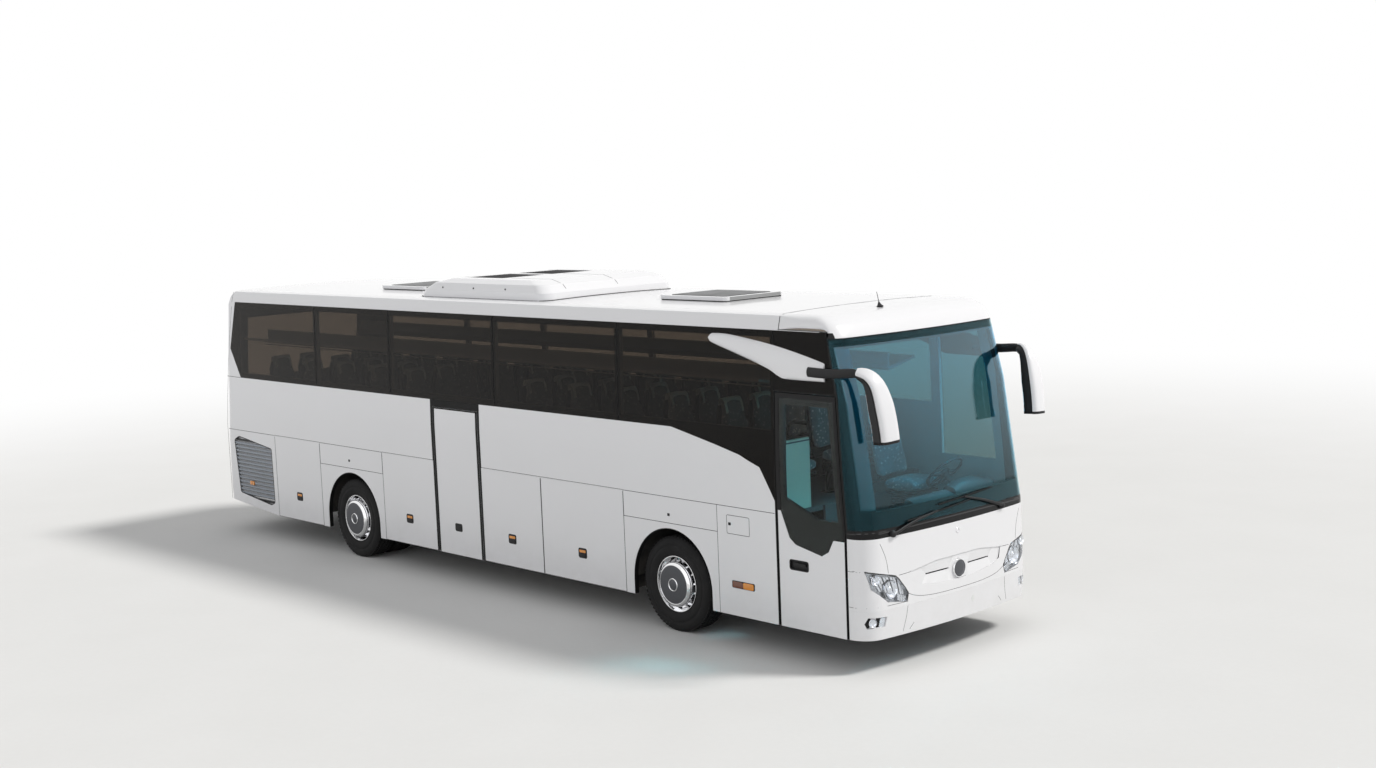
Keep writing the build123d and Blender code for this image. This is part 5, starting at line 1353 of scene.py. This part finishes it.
def flow(mesh, rounds, hold):
    """Even out a mesh; hold gives 0 where a point stays and 1 where it is free."""
    count = len(mesh.vertices)
    places = np.empty(count * 3)
    mesh.vertices.foreach_get("co", places)
    places = places.reshape(-1, 3)
    ends = np.empty(len(mesh.edges) * 2, dtype=int)
    mesh.edges.foreach_get("vertices", ends)
    a, b = ends[0::2], ends[1::2]
    near = np.maximum(np.bincount(a, minlength=count) + np.bincount(b, minlength=count), 1)[:, None]
    free = hold(places)[:, None] * 0.5
    for _ in range(rounds):
        total = np.stack([np.bincount(a, places[b, k], count) + np.bincount(b, places[a, k], count)
            for k in range(3)], 1)
        places = places + (total / near - places) * free
    mesh.vertices.foreach_set("co", places.ravel())
    mesh.update()


def make_brow(sizes):
    """Nose mask whose upper corners flow round in one curve over the windscreen."""
    split = 3.14
    lower = piece("nose_mask_dressed", cut_copy("front_mask", split, False), "mask", sharp=14)
    weigh = lower.modifiers.new("Weigh", "WEIGHTED_NORMAL")
    weigh.keep_sharp = True
    evaluated_mesh(lower)
    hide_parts("front_mask")
    cap = piece("roof_cap", cut_copy("front_mask", split, True), "mask")
    cells = cap.modifiers.new("Cells", "REMESH")
    cells.mode = "VOXEL"
    cells.voxel_size = sizes.cap_cell
    mesh = evaluated_mesh(cap)

    def hold(p):
        along = np.clip((p[:, 0] - 4.85) / 0.22, 0, 1)
        above = np.clip((p[:, 2] - 3.205) / 0.05, 0, 1)
        return along * above

    flow(mesh, sizes.cap_flow, hold)
    fewer = cap.modifiers.new("Fewer", "DECIMATE")
    fewer.ratio = 0.16
    mesh = evaluated_mesh(cap)
    mesh.shade_smooth()
    mesh.set_sharp_from_angle(angle=math.radians(50))


def make_roof(sizes):
    """Seams and grilles of the roof unit, hatch seals and the antenna."""
    make_brow(sizes)
    low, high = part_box("roof_aircon")
    unit = DropFace(("roof_aircon",), aim_down)
    seams = bmesh.new()
    for y in (-0.65, 0.14):
        ribbon(seams, unit, dense([(high.x - 0.006, y), (low.x + 1.45, y)], 0.05), 0.007, 0.0008, 0.002)
    for y in (-0.65, 0.65):
        ribbon(seams, unit, dense([(low.x + 0.02, y), (low.x + 0.62, y)], 0.05), 0.007, 0.0008, 0.002)
    piece("roof_unit_seams", seams, "seam")
    foot = bmesh.new()
    outline = rounded(inset(low, high, 0, 0.01), 0.15, 8)
    ribbon(foot, ROOF, dense(outline + outline[:1], 0.08), 0.02, 0.006, 0.004)
    piece("roof_unit_foot_seal", foot, "seal")
    for k, near in enumerate((-0.7, 0.06)):
        slat = bmesh.new()
        slab(slat, (0, 0, -0.0012), (0.012, 0.63, 0.0012), 0.0008,
            Matrix.Rotation(math.radians(35), 3, "Y"))
        repeat(f"roof_grille_{k}", ROW, slat, "satin", count=36,
            start=(-0.912, near + 0.005, high.z - 0.006), step=(0.0192, 0, 0))
        # Painted shade: a dark disc under each grille stands for the shade below it.
        shade_disc = bmesh.new()
        spin_about(shade_disc, [(-0.0015, 0.0), (0.0, 0.24), (-0.0015, 0.24)],
            Vector((-0.57, near + 0.32, high.z - 0.0115)), UP, 40)
        piece(f"roof_fan_{k}", shade_disc, "slots")
    screws = bmesh.new()
    spin_about(screws, [(0.0, 0.011), (0.004, 0.011), (0.006, 0.007), (0.006, 0.0)], Vector((0, 0, 0)),
        Vector((0, -1, 0)), 12)
    wall = DropFace(("roof_aircon",), lambda u, v: (Vector((u, -3, v)), Vector((0, 1, 0))))
    repeat("roof_unit_screws", ROW, screws, "satin", count=3, start=(-1.05, wall.at(-0.4, 3.535).y, 3.535),
        step=(0.62, 0, 0))
    for hatch in ("roof_hatch_front", "roof_hatch_rear"):
        a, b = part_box(hatch)
        seal = bmesh.new()
        around = rounded(inset(a, b, 0.02, 0.02), 0.05)
        ribbon(seal, ROOF, dense(around + around[:1], 0.06), 0.018, 0.006, 0.004)
        piece(f"{hatch}_seal", seal, "seal")
        pane = bmesh.new()
        lid = DropFace((hatch,), aim_down)
        inner = rounded(inset(a, b, 0.1, 0.09), 0.05)
        patch(pane, lid, inner, 0.0035, 0.003, cell=0.15, crown=0.003)
        piece(f"{hatch}_pane", pane, "pane", hatch)
    mast = bmesh.new()
    foot_at = ROOF.at(5.3, -0.28)
    spin_about(mast, [(-0.004, 0.036), (0.006, 0.036), (0.014, 0.026), (0.034, 0.014), (0.05, 0.007),
        (0.052, 0.0035), (0.15, 0.0028), (0.151, 0.0)], foot_at, Vector((-0.25, 0, 1)), 20)
    piece("antenna", mast, "satin", sharp=50)
    cap = bmesh.new()
    for x in CAP_SEAMS:
        ribbon(cap, ROOF, dense([(x, -1.16), (x, 1.16)], 0.05), 0.006, 0.0008)
    piece("roof_cap_seams", cap, "seam")


# Tail
def make_tail():
    """Grille, plate and handle of the lid, high brake lamp, lines, buffers and reflectors."""
    grille = bmesh.new()
    section = [(0.0, 0.0), (0.03, 0.018), (0.027, 0.02), (-0.003, 0.002)]
    join_rings(grille, [[Vector((x, y, z)) for x, z in section] for y in (-0.638, 0.638)], caps=True)
    rise = TAIL.at(0.675, 1.2).x - TAIL.at(0.675, 0.8).x
    repeat("lid_louvres", ROW, grille, "satin", "engine_lid", count=9,
        start=(TAIL.at(0.66, 0.77).x + 0.012, 0, 0.762), step=(rise * 0.052 / 0.4, 0, 0.052))
    seat, plate, dark, red = bmesh.new(), bmesh.new(), bmesh.new(), bmesh.new()
    patch(seat, TAIL, soft_box((0, 1.42), 0.62, 0.2, 0.03), 0.002, 0.004)
    piece("plate_seat", seat, "satin", "engine_lid")
    patch(plate, TAIL, soft_box((0, 1.42), 0.52, 0.112, 0.012), 0.007, 0.004, crown=0.0005)
    piece("plate_blank", plate, "plate", "engine_lid")
    patch(dark, TAIL, soft_box((0, 1.63), 0.26, 0.06, 0.02), 0.01, 0.01, crown=0.003)
    piece("lid_handle", dark, "satin", "engine_lid")
    patch(red, TAIL, soft_box((0, 3.1), 0.42, 0.03, 0.01), 0.006, 0.008, crown=0.002)
    piece("high_brake_lamp", red, "red")
    lines, buffers, reflectors = bmesh.new(), bmesh.new(), bmesh.new()
    for side in (-1, 1):
        ribbon(lines, TAIL, dense([(side * 0.05, 0.6), (side * 1.1, 0.6)], 0.06), 0.005, LINE_LIFT)
        spot = TAIL.at(side * 1.12, 0.74)
        spin_about(buffers, [(-0.004, 0.038), (0.018, 0.038), (0.028, 0.03), (0.032, 0.015), (0.033, 0.0)],
            spot, TAIL.out(side * 1.12, 0.74), 28)
        patch(reflectors, TAIL, soft_box((side * 1.02, 0.53), 0.18, 0.05, 0.01), 0.006, 0.008, crown=0.002)
    piece("tail_lines", lines, "line")
    piece("tail_buffers", buffers, "seal", sharp=50)
    piece("tail_reflectors", reflectors, "red")


# Seats
def cushion_cage(rings, rows):
    """Closed low cage from rings of (x, z, width, depth, tilt), each a rounded rectangle across a line."""
    bm = bmesh.new()
    shapes = []
    for x, z, width, depth, tilt in rings:
        ring = []
        for k in range(rows):
            a = math.tau * k / rows
            cx = full(math.cos(a), 0.55) * width / 2
            cz = full(math.sin(a), 0.75) * depth / 2
            ring.append(Vector((x + cz * math.cos(tilt), cx, z + cz * math.sin(tilt))))
        shapes.append(ring)
    join_rings(bm, shapes, caps=True)
    return bm


def puff(bm, name, limit):
    """Swell a cage with cloth under light pressure, and cap how far it moves."""
    bmesh.ops.triangulate(bm, faces=[f for f in bm.faces if len(f.verts) > 4], quad_method="BEAUTY")
    bmesh.ops.subdivide_edges(bm, edges=bm.edges[:], cuts=1, use_grid_fill=True)
    bmesh.ops.recalc_face_normals(bm, faces=bm.faces)
    host = new_object(name, new_mesh(name, bm))
    host.data = swell(host, limit)
    smooth = host.modifiers.new("Smooth", "SUBSURF")
    smooth.levels = smooth.render_levels = 1
    mesh = evaluated_mesh(host)
    bpy.data.objects.remove(host)
    return mesh


def swell(host, limit):
    """Mesh of an object after 20 frames as cloth under pressure, with each point's move capped."""
    mesh = host.data
    cloth = host.modifiers.new("Cloth", "CLOTH")
    cloth.settings.quality = 4
    cloth.settings.use_pressure = True
    cloth.settings.uniform_pressure_force = 4
    cloth.settings.effector_weights.gravity = 0
    cloth.point_cache.frame_start = 1
    cloth.point_cache.frame_end = 20
    scene = bpy.context.scene
    for number in range(1, 21):
        scene.frame_set(number)
    swollen = bpy.data.meshes.new_from_object(host.evaluated_get(bpy.context.evaluated_depsgraph_get()))
    for before, after in zip(mesh.vertices, swollen.vertices):
        move = after.co - before.co
        if move.length > limit:
            after.co = before.co + move.normalized() * limit
    scene.frame_set(1)
    host.modifiers.clear()
    return swollen


def copies(mesh, places, finish, name, fill=None):
    """One piece with a copy of a mesh at each place."""
    bm = bmesh.new()
    for place in places:
        start = len(bm.verts)
        bm.from_mesh(mesh)
        bm.verts.ensure_lookup_table()
        for v in bm.verts[start:]:
            v.co += place
    made = piece(name, bm, finish, sharp=65)
    return made


def hard_part(build):
    bm = bmesh.new()
    build(bm)
    bmesh.ops.recalc_face_normals(bm, faces=bm.faces)
    return new_mesh("part", bm)


def seat_frame(bm):
    for y in (-0.19, 0.19):
        tube(bm, [(-0.3, y, 0.0), (-0.29, y, 0.16), (-0.22, y, 0.31)], 0.022, 10)
    slab(bm, (-0.34, -0.21, 0.285), (-0.02, 0.21, 0.325), 0.012)
    slab(bm, (-0.36, -0.23, 0.0), (-0.24, 0.23, 0.018), 0.006)
    back = [(-0.455, 0.36), (-0.505, 0.5), (-0.555, 0.75), (-0.6, 0.96), (-0.622, 1.06)]
    rings = []
    for x, z in back:
        w = 0.205 if z < 0.9 else 0.205 - 0.5 * (z - 0.9)
        rings.append([Vector((x - 0.018, -w, z)), Vector((x - 0.026, 0, z)), Vector((x - 0.018, w, z)),
            Vector((x, w, z)), Vector((x, 0, z)), Vector((x, -w, z))])
    join_rings(bm, rings, caps=True)
    tube(bm, [(-0.44, 0.215, 0.5), (-0.4, 0.216, 0.62), (-0.33, 0.216, 0.645), (-0.12, 0.216, 0.64)],
        [0.016, 0.022, 0.024, 0.018], 10, flat=0.9)


def make_seats(sizes):
    """Padded seats with headrests and covers on the CAD's places, and the driver's seat."""
    box_low, box_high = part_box("passenger_seats")
    floor = box_low.z
    first = box_high.x - 0.04
    pair_y = (box_high.y + 0.204) / 2
    places = []
    for row in range(SEAT_ROWS):
        x = first - row * SEAT_PITCH
        for y in (pair_y, -pair_y):
            if y < 0 and not (x < STAIRS[0] or x - SEAT_DEPTH > STAIRS[1]):
                continue
            places += [Vector((x, y + s * 0.226, floor)) for s in (-1, 1)]
    seat = puff(cushion_cage([(-0.4, 0.385, 0.3, 0.05, 1.57), (-0.37, 0.392, 0.39, 0.095, 1.57),
        (-0.25, 0.392, 0.41, 0.11, 1.57), (-0.1, 0.397, 0.41, 0.11, 1.57), (0.0, 0.402, 0.4, 0.1, 1.57),
        (0.022, 0.398, 0.33, 0.055, 1.57)], 16), "cushion", sizes.cushion_swell)
    back = puff(cushion_cage([(-0.43, 0.455, 0.32, 0.05, 0.2), (-0.45, 0.48, 0.4, 0.085, 0.2),
        (-0.48, 0.62, 0.41, 0.085, 0.2), (-0.52, 0.8, 0.405, 0.075, 0.2), (-0.552, 0.93, 0.37, 0.07, 0.2),
        (-0.568, 1.0, 0.29, 0.08, 0.2), (-0.584, 1.08, 0.28, 0.08, 0.2), (-0.592, 1.125, 0.2, 0.045, 0.2)],
        16), "back", sizes.cushion_swell)
    cushions = copies(seat, places, "cloth", "seat_cushions", 0.7)
    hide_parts("passenger_seats")
    copies(back, places, "cloth", "seat_backs", 0.6)
    copies(hard_part(seat_frame), places, "satin", "seat_frames")
    copies(hard_part(head_cover), places, "cover_cloth", "headrest_covers")
    make_driver_seat(seat, back)


def head_cover(bm):
    """Cover folded over the headrest's top."""
    rings = []
    for k in range(9):
        t = k / 8
        y = (t - 0.5) * 0.255
        drop = 0.004 * abs(t - 0.5) * 2
        front = [(-0.515, 0.985), (-0.528, 1.05), (-0.545, 1.1), (-0.566, 1.132 - drop),
            (-0.594, 1.141 - drop), (-0.622, 1.132 - drop), (-0.634, 1.1), (-0.628, 1.04), (-0.62, 1.0)]
        ring = [Vector((x, y, z)) for x, z in front]
        ring += [Vector((x + (-0.004 if x > -0.594 else 0.004), y, z - 0.004)) for x, z in reversed(front)]
        rings.append(ring)
    join_rings(bm, rings, caps=True)


def make_driver_seat(seat, back):
    low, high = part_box("driver_seat")
    at = Vector((high.x - 0.05, (low.y + high.y) / 2, low.z))
    wide = Matrix.Diagonal((1.03, 1.22, 1.0, 1))
    for mesh, name, fill in ((seat, "driver_cushion", 0.7), (back, "driver_back", 0.6)):
        own = mesh.copy()
        own.transform(wide)
        made = copies(own, [at], "cloth", name, fill)
        if name == "driver_cushion":
            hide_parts("driver_seat")
    base = bmesh.new()
    slab(base, (at.x - 0.36, at.y - 0.19, at.z), (at.x - 0.05, at.y + 0.19, at.z + 0.16), 0.02)
    for k in range(5):
        z = at.z + 0.17 + 0.025 * k
        slab(base, (at.x - 0.34, at.y - 0.17, z), (at.x - 0.07, at.y + 0.17, z + 0.018), 0.008)
    slab(base, (at.x - 0.36, at.y - 0.21, at.z + 0.295), (at.x - 0.02, at.y + 0.21, at.z + 0.33), 0.012)
    piece("driver_seat_base", base, "satin")
    cover = hard_part(head_cover)
    cover.transform(wide)
    copies(cover, [at], "cover_cloth", "driver_headrest_cover")


# Cab interior
def make_cab():
    """Steering wheel, instrument hood, partition, screens and rack lamps."""
    low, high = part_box("steering_wheel")
    dash_low, dash_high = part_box("dashboard")
    centre = Vector((dash_low.x - 0.2, (low.y + high.y) / 2, 1.64))
    axis = Vector((-1, 0, 1)).normalized()
    wheel, hood, screens, panel = bmesh.new(), bmesh.new(), bmesh.new(), bmesh.new()
    spin_about(wheel, [(0.01 + 0.0135 * math.sin(a), 0.2105 + 0.0135 * math.cos(a))
        for a in (math.tau * k / 12 for k in range(13))], centre, axis, 56)
    turn = axis.to_track_quat("Z", "Y").to_matrix()
    for a in (math.radians(d) for d in (0, 180, 250, 290)):
        start = centre + turn @ Vector((0.03 * math.cos(a), 0.03 * math.sin(a), 0.0))
        end = centre + turn @ Vector((0.205 * math.cos(a), 0.205 * math.sin(a), 0.01))
        tube(wheel, [start, (start + end) / 2, end], [0.02, 0.015, 0.012], 10, flat=0.6)
    spin_about(wheel, [(-0.3, 0.034), (-0.02, 0.034), (-0.008, 0.062), (0.014, 0.066), (0.022, 0.055),
        (0.026, 0.0)], centre, axis, 40)
    steer = piece("steering_wheel_dressed", wheel, "dash", sharp=50)
    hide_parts("steering_wheel")
    arc = [(dash_low.x + 0.055, dash_high.z - 0.055), (dash_low.x + 0.02, dash_high.z + 0.05),
        (dash_low.x + 0.07, dash_high.z + 0.085), (dash_low.x + 0.17, dash_high.z + 0.06),
        (dash_low.x + 0.2, dash_high.z - 0.03)]
    rings = []
    for k in range(13):
        t = k / 12
        y = centre.y + (t - 0.5) * 0.62
        fall = 0.05 * abs(2 * t - 1) ** 3
        rings.append([Vector((x, y, z - fall)) for x, z in smooth_path(arc, 3)])
    join_rings(hood, rings, caps=True)
    piece("instrument_hood", hood, "dash", sharp=50)
    for y, w in ((centre.y, 0.34), (centre.y - 0.44, 0.2)):
        slab(screens, (dash_low.x + 0.03, y - w / 2, dash_high.z - 0.075),
            (dash_low.x + 0.042, y + w / 2, dash_high.z - 0.005), 0.003,
            Matrix.Rotation(math.radians(-50), 3, "Y"))
    piece("dash_screens", screens, "black")
    slab(panel, (PARTITION_X + 0.0008, -1.205, 1.37), (PARTITION_X + 0.007, -0.505, 2.055), 0.002)
    slab(panel, (PARTITION_X - 0.037, -1.205, 1.44), (PARTITION_X - 0.0308, -0.505, 2.055), 0.002)
    slab(panel, (PARTITION_X - 0.036, -1.205, 2.0705), (PARTITION_X + 0.006, -0.505, 2.092), 0.008)
    piece("partition_panels", panel, "mint")
    lamps = bmesh.new()
    rack_low, rack_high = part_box("luggage_racks")
    for side in (-1, 1):
        slab(lamps, (rack_low.x + 0.1, side * 0.88 - 0.03, rack_low.z - 0.006),
            (rack_high.x - 0.1, side * 0.88 + 0.03, rack_low.z - 0.0005), 0.002)
    piece("rack_lamp_strips", lamps, "plate", "coach")


# Engine bay and running gear
def make_machinery():
    """Ribs and pulleys on the engine, bellows, arms and shields by both axles, and the exhaust."""
    low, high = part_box("engine")
    rib = bmesh.new()
    slab(rib, (0, low.y + 0.05, 0), (0.03, high.y - 0.05, 0.022), 0.006)
    repeat("engine_ribs", ROW, rib, "cast", count=14, start=(low.x + 0.08, 0, high.z - 0.003),
        step=(0.082, 0, 0))
    pulleys = bmesh.new()
    for y, z, r in ((0.0, low.z + 0.24, 0.14), (-0.21, low.z + 0.42, 0.08), (0.22, low.z + 0.4, 0.09),
            (0.05, low.z + 0.5, 0.055)):
        spin_about(pulleys, [(-0.002, r * 0.3), (0.03, r * 0.3), (0.032, r * 0.86), (0.034, r), (0.04, r),
            (0.044, r * 0.9), (0.05, r), (0.056, r), (0.058, r * 0.85), (0.05, r * 0.5), (0.06, r * 0.25),
            (0.06, 0.0)], Vector((low.x, y, z)), Vector((-1, 0, 0)), 40)
    piece("engine_pulleys", pulleys, "cast", sharp=40)
    bellows, arms, shields = bmesh.new(), bmesh.new(), bmesh.new()
    profile = [(0.0, 0.06)]
    for k in range(4):
        profile += [(0.02 + 0.05 * k, 0.085), (0.045 + 0.05 * k, 0.108), (0.068 + 0.05 * k, 0.085)]
    profile += [(0.235, 0.06), (0.235, 0.0)]
    for hub in (REAR_HUB, FRONT_HUB):
        for side in (-1, 1):
            y, shield_y = side * 0.44, side * 0.562
            for x in (-0.3, 0.3):
                spin_about(bellows, profile, Vector((hub.x + x, y, 0.465)), UP, 28)
            tube(arms, [(hub.x - 0.42, y, 0.452), (hub.x, y, 0.44), (hub.x + 0.42, y, 0.452)], 0.032, 10)
            slab(shields, (hub.x - 0.63, shield_y - 0.003, 0.36), (hub.x + 0.63, shield_y + 0.003, 1.1),
                0.002)
    piece("air_bellows", bellows, "seal", sharp=50)
    piece("suspension_arms", arms, "steel")
    piece("arch_shields", shields, "seal")
    pipe = bmesh.new()
    tube(pipe, [(low.x + 0.3, 0.62, 0.52), (low.x - 0.1, 0.64, 0.5), (low.x - 0.33, 0.66, 0.46),
        (low.x - 0.4, 0.66, 0.44)], 0.05, 18)
    piece("exhaust", pipe, "steel", sharp=60)


# Stage
def make_stage(sizes):
    """Camera at the photograph's view, soft lights, pale floor and white surroundings."""
    scene = bpy.context.scene
    yaw, pitch, roll = (math.radians(a) for a in (46.995, 6.8, -2.257))
    ahead = Vector((-math.sin(yaw) * math.cos(pitch), math.cos(yaw) * math.cos(pitch), -math.sin(pitch)))
    level = Vector((math.cos(yaw), math.sin(yaw), 0))
    upright = level.cross(ahead)
    right = level * math.cos(roll) + upright * math.sin(roll)
    up = upright * math.cos(roll) - level * math.sin(roll)
    data = bpy.data.cameras.new("Photo view")
    data.sensor_fit = "HORIZONTAL"
    data.sensor_width = 36
    data.lens = 1783.4 * 36 / 1376
    data.clip_end = 300
    camera = new_object("Photo view", data)
    turn = Matrix((right, up, -ahead)).transposed().to_4x4()
    camera.matrix_world = Matrix.Translation((16.7933, -13.6196, 4.8186)) @ turn
    scene.camera = camera
    scene.view_settings.view_transform = "Standard"
    for name, way, power, angle in (("Key light", (0.55, 0.45, 0.85), sizes.key_light, 12),
            ("Fill light", (0.35, -0.9, 0.5), sizes.fill_light, 60)):
        lamp = bpy.data.lights.new(name, "SUN")
        lamp.energy = power
        lamp.angle = math.radians(angle)
        lamp.color = (1.0, 0.985, 0.96) if name == "Key light" else (0.93, 0.955, 1.0)
        holder = new_object(name, lamp)
        holder.rotation_euler = Vector(way).to_track_quat("Z", "Y").to_euler()
    world = bpy.data.worlds.new("Soft studio")
    world.use_nodes = True
    world.node_tree.nodes.clear()
    graph = Graph(world.node_tree)
    path = graph.add("ShaderNodeLightPath").outputs
    seen = graph.maths("MAXIMUM", graph.maths("MAXIMUM", path["Is Camera Ray"], path["Is Glossy Ray"]),
        path["Is Transmission Ray"])
    power = graph.add("ShaderNodeMapRange", {0: seen, 1: 0.0, 2: 1.0, 3: sizes.sky_light,
        4: 1.0}).outputs[0]
    sky = graph.add("ShaderNodeBackground", {"Color": (1, 1, 1, 1), "Strength": power})
    graph.add("ShaderNodeOutputWorld", {"Surface": sky.outputs[0]})
    scene.world = world
    bm = bmesh.new()
    rings = [[Vector((r * math.cos(math.tau * k / 64), r * math.sin(math.tau * k / 64), 0))
        for k in range(64)] for r in (2, 8, 20, 60)]
    join_rings(bm, rings)
    bm.faces.new(bm.verts[:64])
    bmesh.ops.recalc_face_normals(bm, faces=bm.faces)
    mesh = new_mesh("Floor", bm)
    if mesh.polygons[0].normal.z < 0:
        mesh.flip_normals()
    material, graph, shader, end = start_finish("Pale floor")
    tone = group(graph, TONE, scale=0.8, fine_scale=14.0)
    shade = graph.blend(tone["Tone"], (0.7, 0.7, 0.69), (0.76, 0.76, 0.755))
    set_shader(graph, shader, Base_Color=shade, Roughness=0.9)
    place = graph.add("ShaderNodeTexCoord").outputs["Object"]
    far = graph.add("ShaderNodeMapRange", {0: graph.vector("LENGTH", place).outputs["Value"], 1: 9.0,
        2: 26.0}, interpolation_type="SMOOTHSTEP").outputs[0]
    glow = graph.add("ShaderNodeEmission", {"Color": (1, 1, 1, 1), "Strength": 1.0})
    mixed = graph.add("ShaderNodeMixShader", {0: far, 1: shader.outputs[0], 2: glow.outputs[0]})
    graph.tree.links.new(mixed.outputs[0], end.inputs["Surface"])
    mesh.materials.append(material)
    floor = new_object("Floor", mesh)


# Settings, operators and the panel
def colour_setting(name, description, default):
    return FloatVectorProperty(name=name, description=description, default=default, size=3, min=0, max=1,
        subtype="COLOR")


def length_setting(name, description, default):
    return FloatProperty(name=name, description=description, default=default, unit="LENGTH", precision=4)


class CoachTones(bpy.types.PropertyGroup):
    body_colour: colour_setting("Body", "Colour of the body paint", (0.8, 0.8, 0.815))
    trim_colour: colour_setting("Trim", "Colour of the gloss trim", (0.012, 0.012, 0.013))
    side_glass: colour_setting("Side glass", "Tint of the side windows at each face", (0.215, 0.185, 0.155))
    windscreen: colour_setting("Windscreen", "Tint of the windscreen at each face", (0.5, 0.83, 0.9))


class CoachWheels(bpy.types.PropertyGroup):
    groove_depth: length_setting("Groove depth", "Depth of the grooves round the tread", 0.012)
    lug_count: IntProperty(name="Lugs", description="Lugs in one row round the tread", default=64, min=12,
        max=120)
    cover_radius: length_setting("Cover radius", "Radius of the round wheel cover", 0.243)
    cover_shoulder: length_setting("Cover shoulder", "Width of the bright shoulder round the cover", 0.034)


class CoachTrim(bpy.types.PropertyGroup):
    seam_width: length_setting("Panel line", "Width of the lines between panels", 0.006)
    cap_cell: length_setting("Cap cell", "Cell of the roof cap's smooth mesh", 0.009)
    cap_flow: IntProperty(name="Cap flow", description="Rounds of smoothing of the roof cap", default=140,
        min=0)


class CoachSeats(bpy.types.PropertyGroup):
    cushion_swell: length_setting("Swell", "Most that the padding swells", 0.022)


class CoachStage(bpy.types.PropertyGroup):
    key_light: FloatProperty(name="Key", description="Strength of the main light", default=2.35, min=0)
    fill_light: FloatProperty(name="Fill", description="Strength of the light from the near side",
        default=0.42, min=0)
    sky_light: FloatProperty(name="Surroundings", description="Strength of the light from all round",
        default=0.45, min=0)


class COACH_OT_finishes(bpy.types.Operator):
    """Make the finishes and give each CAD node its own"""
    bl_idname = "coach.finishes"
    bl_label = "Finishes"

    def execute(self, context):
        make_finishes(context.scene.coach_tones)
        dress_nodes()
        return {"FINISHED"}


class COACH_OT_wheels(bpy.types.Operator):
    """Make the tyres, rims and covers"""
    bl_idname = "coach.wheels"
    bl_label = "Wheels"

    def execute(self, context):
        make_wheels(context.scene.coach_wheels)
        return {"FINISHED"}


class COACH_OT_side_trim(bpy.types.Operator):
    """Make the trim of both sides and of the doors"""
    bl_idname = "coach.side_trim"
    bl_label = "Side trim"

    def execute(self, context):
        make_side_trim(context.scene.coach_trim)
        return {"FINISHED"}


class COACH_OT_mirrors(bpy.types.Operator):
    """Make the wing blades and mirrors"""
    bl_idname = "coach.mirrors"
    bl_label = "Mirrors"

    def execute(self, context):
        make_mirrors()
        return {"FINISHED"}


class COACH_OT_nose(bpy.types.Operator):
    """Make the lamps, lines and wipers of the nose"""
    bl_idname = "coach.nose"
    bl_label = "Nose"

    def execute(self, context):
        make_nose()
        return {"FINISHED"}


class COACH_OT_roof(bpy.types.Operator):
    """Make the details of the roof"""
    bl_idname = "coach.roof"
    bl_label = "Roof"

    def execute(self, context):
        make_roof(context.scene.coach_trim)
        return {"FINISHED"}


class COACH_OT_tail(bpy.types.Operator):
    """Make the details of the tail"""
    bl_idname = "coach.tail"
    bl_label = "Tail"

    def execute(self, context):
        make_tail()
        return {"FINISHED"}


class COACH_OT_seats(bpy.types.Operator):
    """Make the padded seats"""
    bl_idname = "coach.seats"
    bl_label = "Seats"

    def execute(self, context):
        make_seats(context.scene.coach_seats)
        return {"FINISHED"}


class COACH_OT_cab(bpy.types.Operator):
    """Make the fittings of the cab"""
    bl_idname = "coach.cab"
    bl_label = "Cab"

    def execute(self, context):
        make_cab()
        return {"FINISHED"}


class COACH_OT_machinery(bpy.types.Operator):
    """Make the details of the engine and running gear"""
    bl_idname = "coach.machinery"
    bl_label = "Machinery"

    def execute(self, context):
        make_machinery()
        return {"FINISHED"}


class COACH_OT_stage(bpy.types.Operator):
    """Set up the camera, lights and floor"""
    bl_idname = "coach.stage"
    bl_label = "Stage"

    def execute(self, context):
        make_stage(context.scene.coach_stage)
        return {"FINISHED"}


OPERATORS = (COACH_OT_stage, COACH_OT_finishes, COACH_OT_wheels, COACH_OT_side_trim, COACH_OT_mirrors,
    COACH_OT_nose, COACH_OT_roof, COACH_OT_tail, COACH_OT_seats, COACH_OT_cab, COACH_OT_machinery)
SETTINGS = (("coach_tones", CoachTones), ("coach_wheels", CoachWheels), ("coach_trim", CoachTrim),
    ("coach_seats", CoachSeats), ("coach_stage", CoachStage))


class COACH_PT_panel(bpy.types.Panel):
    """Settings and steps of the coach"""
    bl_label = "Coach"
    bl_idname = "COACH_PT_panel"
    bl_space_type = "VIEW_3D"
    bl_region_type = "UI"
    bl_category = "Coach"

    def draw(self, context):
        for name, settings in SETTINGS:
            box = self.layout.box()
            for field in settings.__annotations__:
                box.prop(getattr(context.scene, name), field)
        for operator in OPERATORS:
            self.layout.operator(operator.bl_idname)


def register():
    for name, settings in SETTINGS:
        bpy.utils.register_class(settings)
        setattr(bpy.types.Scene, name, PointerProperty(type=settings))
    for kind in OPERATORS + (COACH_PT_panel,):
        bpy.utils.register_class(kind)


def unregister():
    for kind in reversed(OPERATORS + (COACH_PT_panel,)):
        bpy.utils.unregister_class(kind)
    for name, settings in reversed(SETTINGS):
        delattr(bpy.types.Scene, name)
        bpy.utils.unregister_class(settings)


def main():
    register()
    bpy.ops.coach.stage()
    bpy.ops.coach.finishes()
    bpy.ops.coach.wheels()
    bpy.ops.coach.side_trim()
    bpy.ops.coach.mirrors()
    bpy.ops.coach.nose()
    bpy.ops.coach.roof()
    bpy.ops.coach.tail()
    bpy.ops.coach.seats()
    bpy.ops.coach.cab()
    bpy.ops.coach.machinery()


if __name__ == "__main__":
    main()
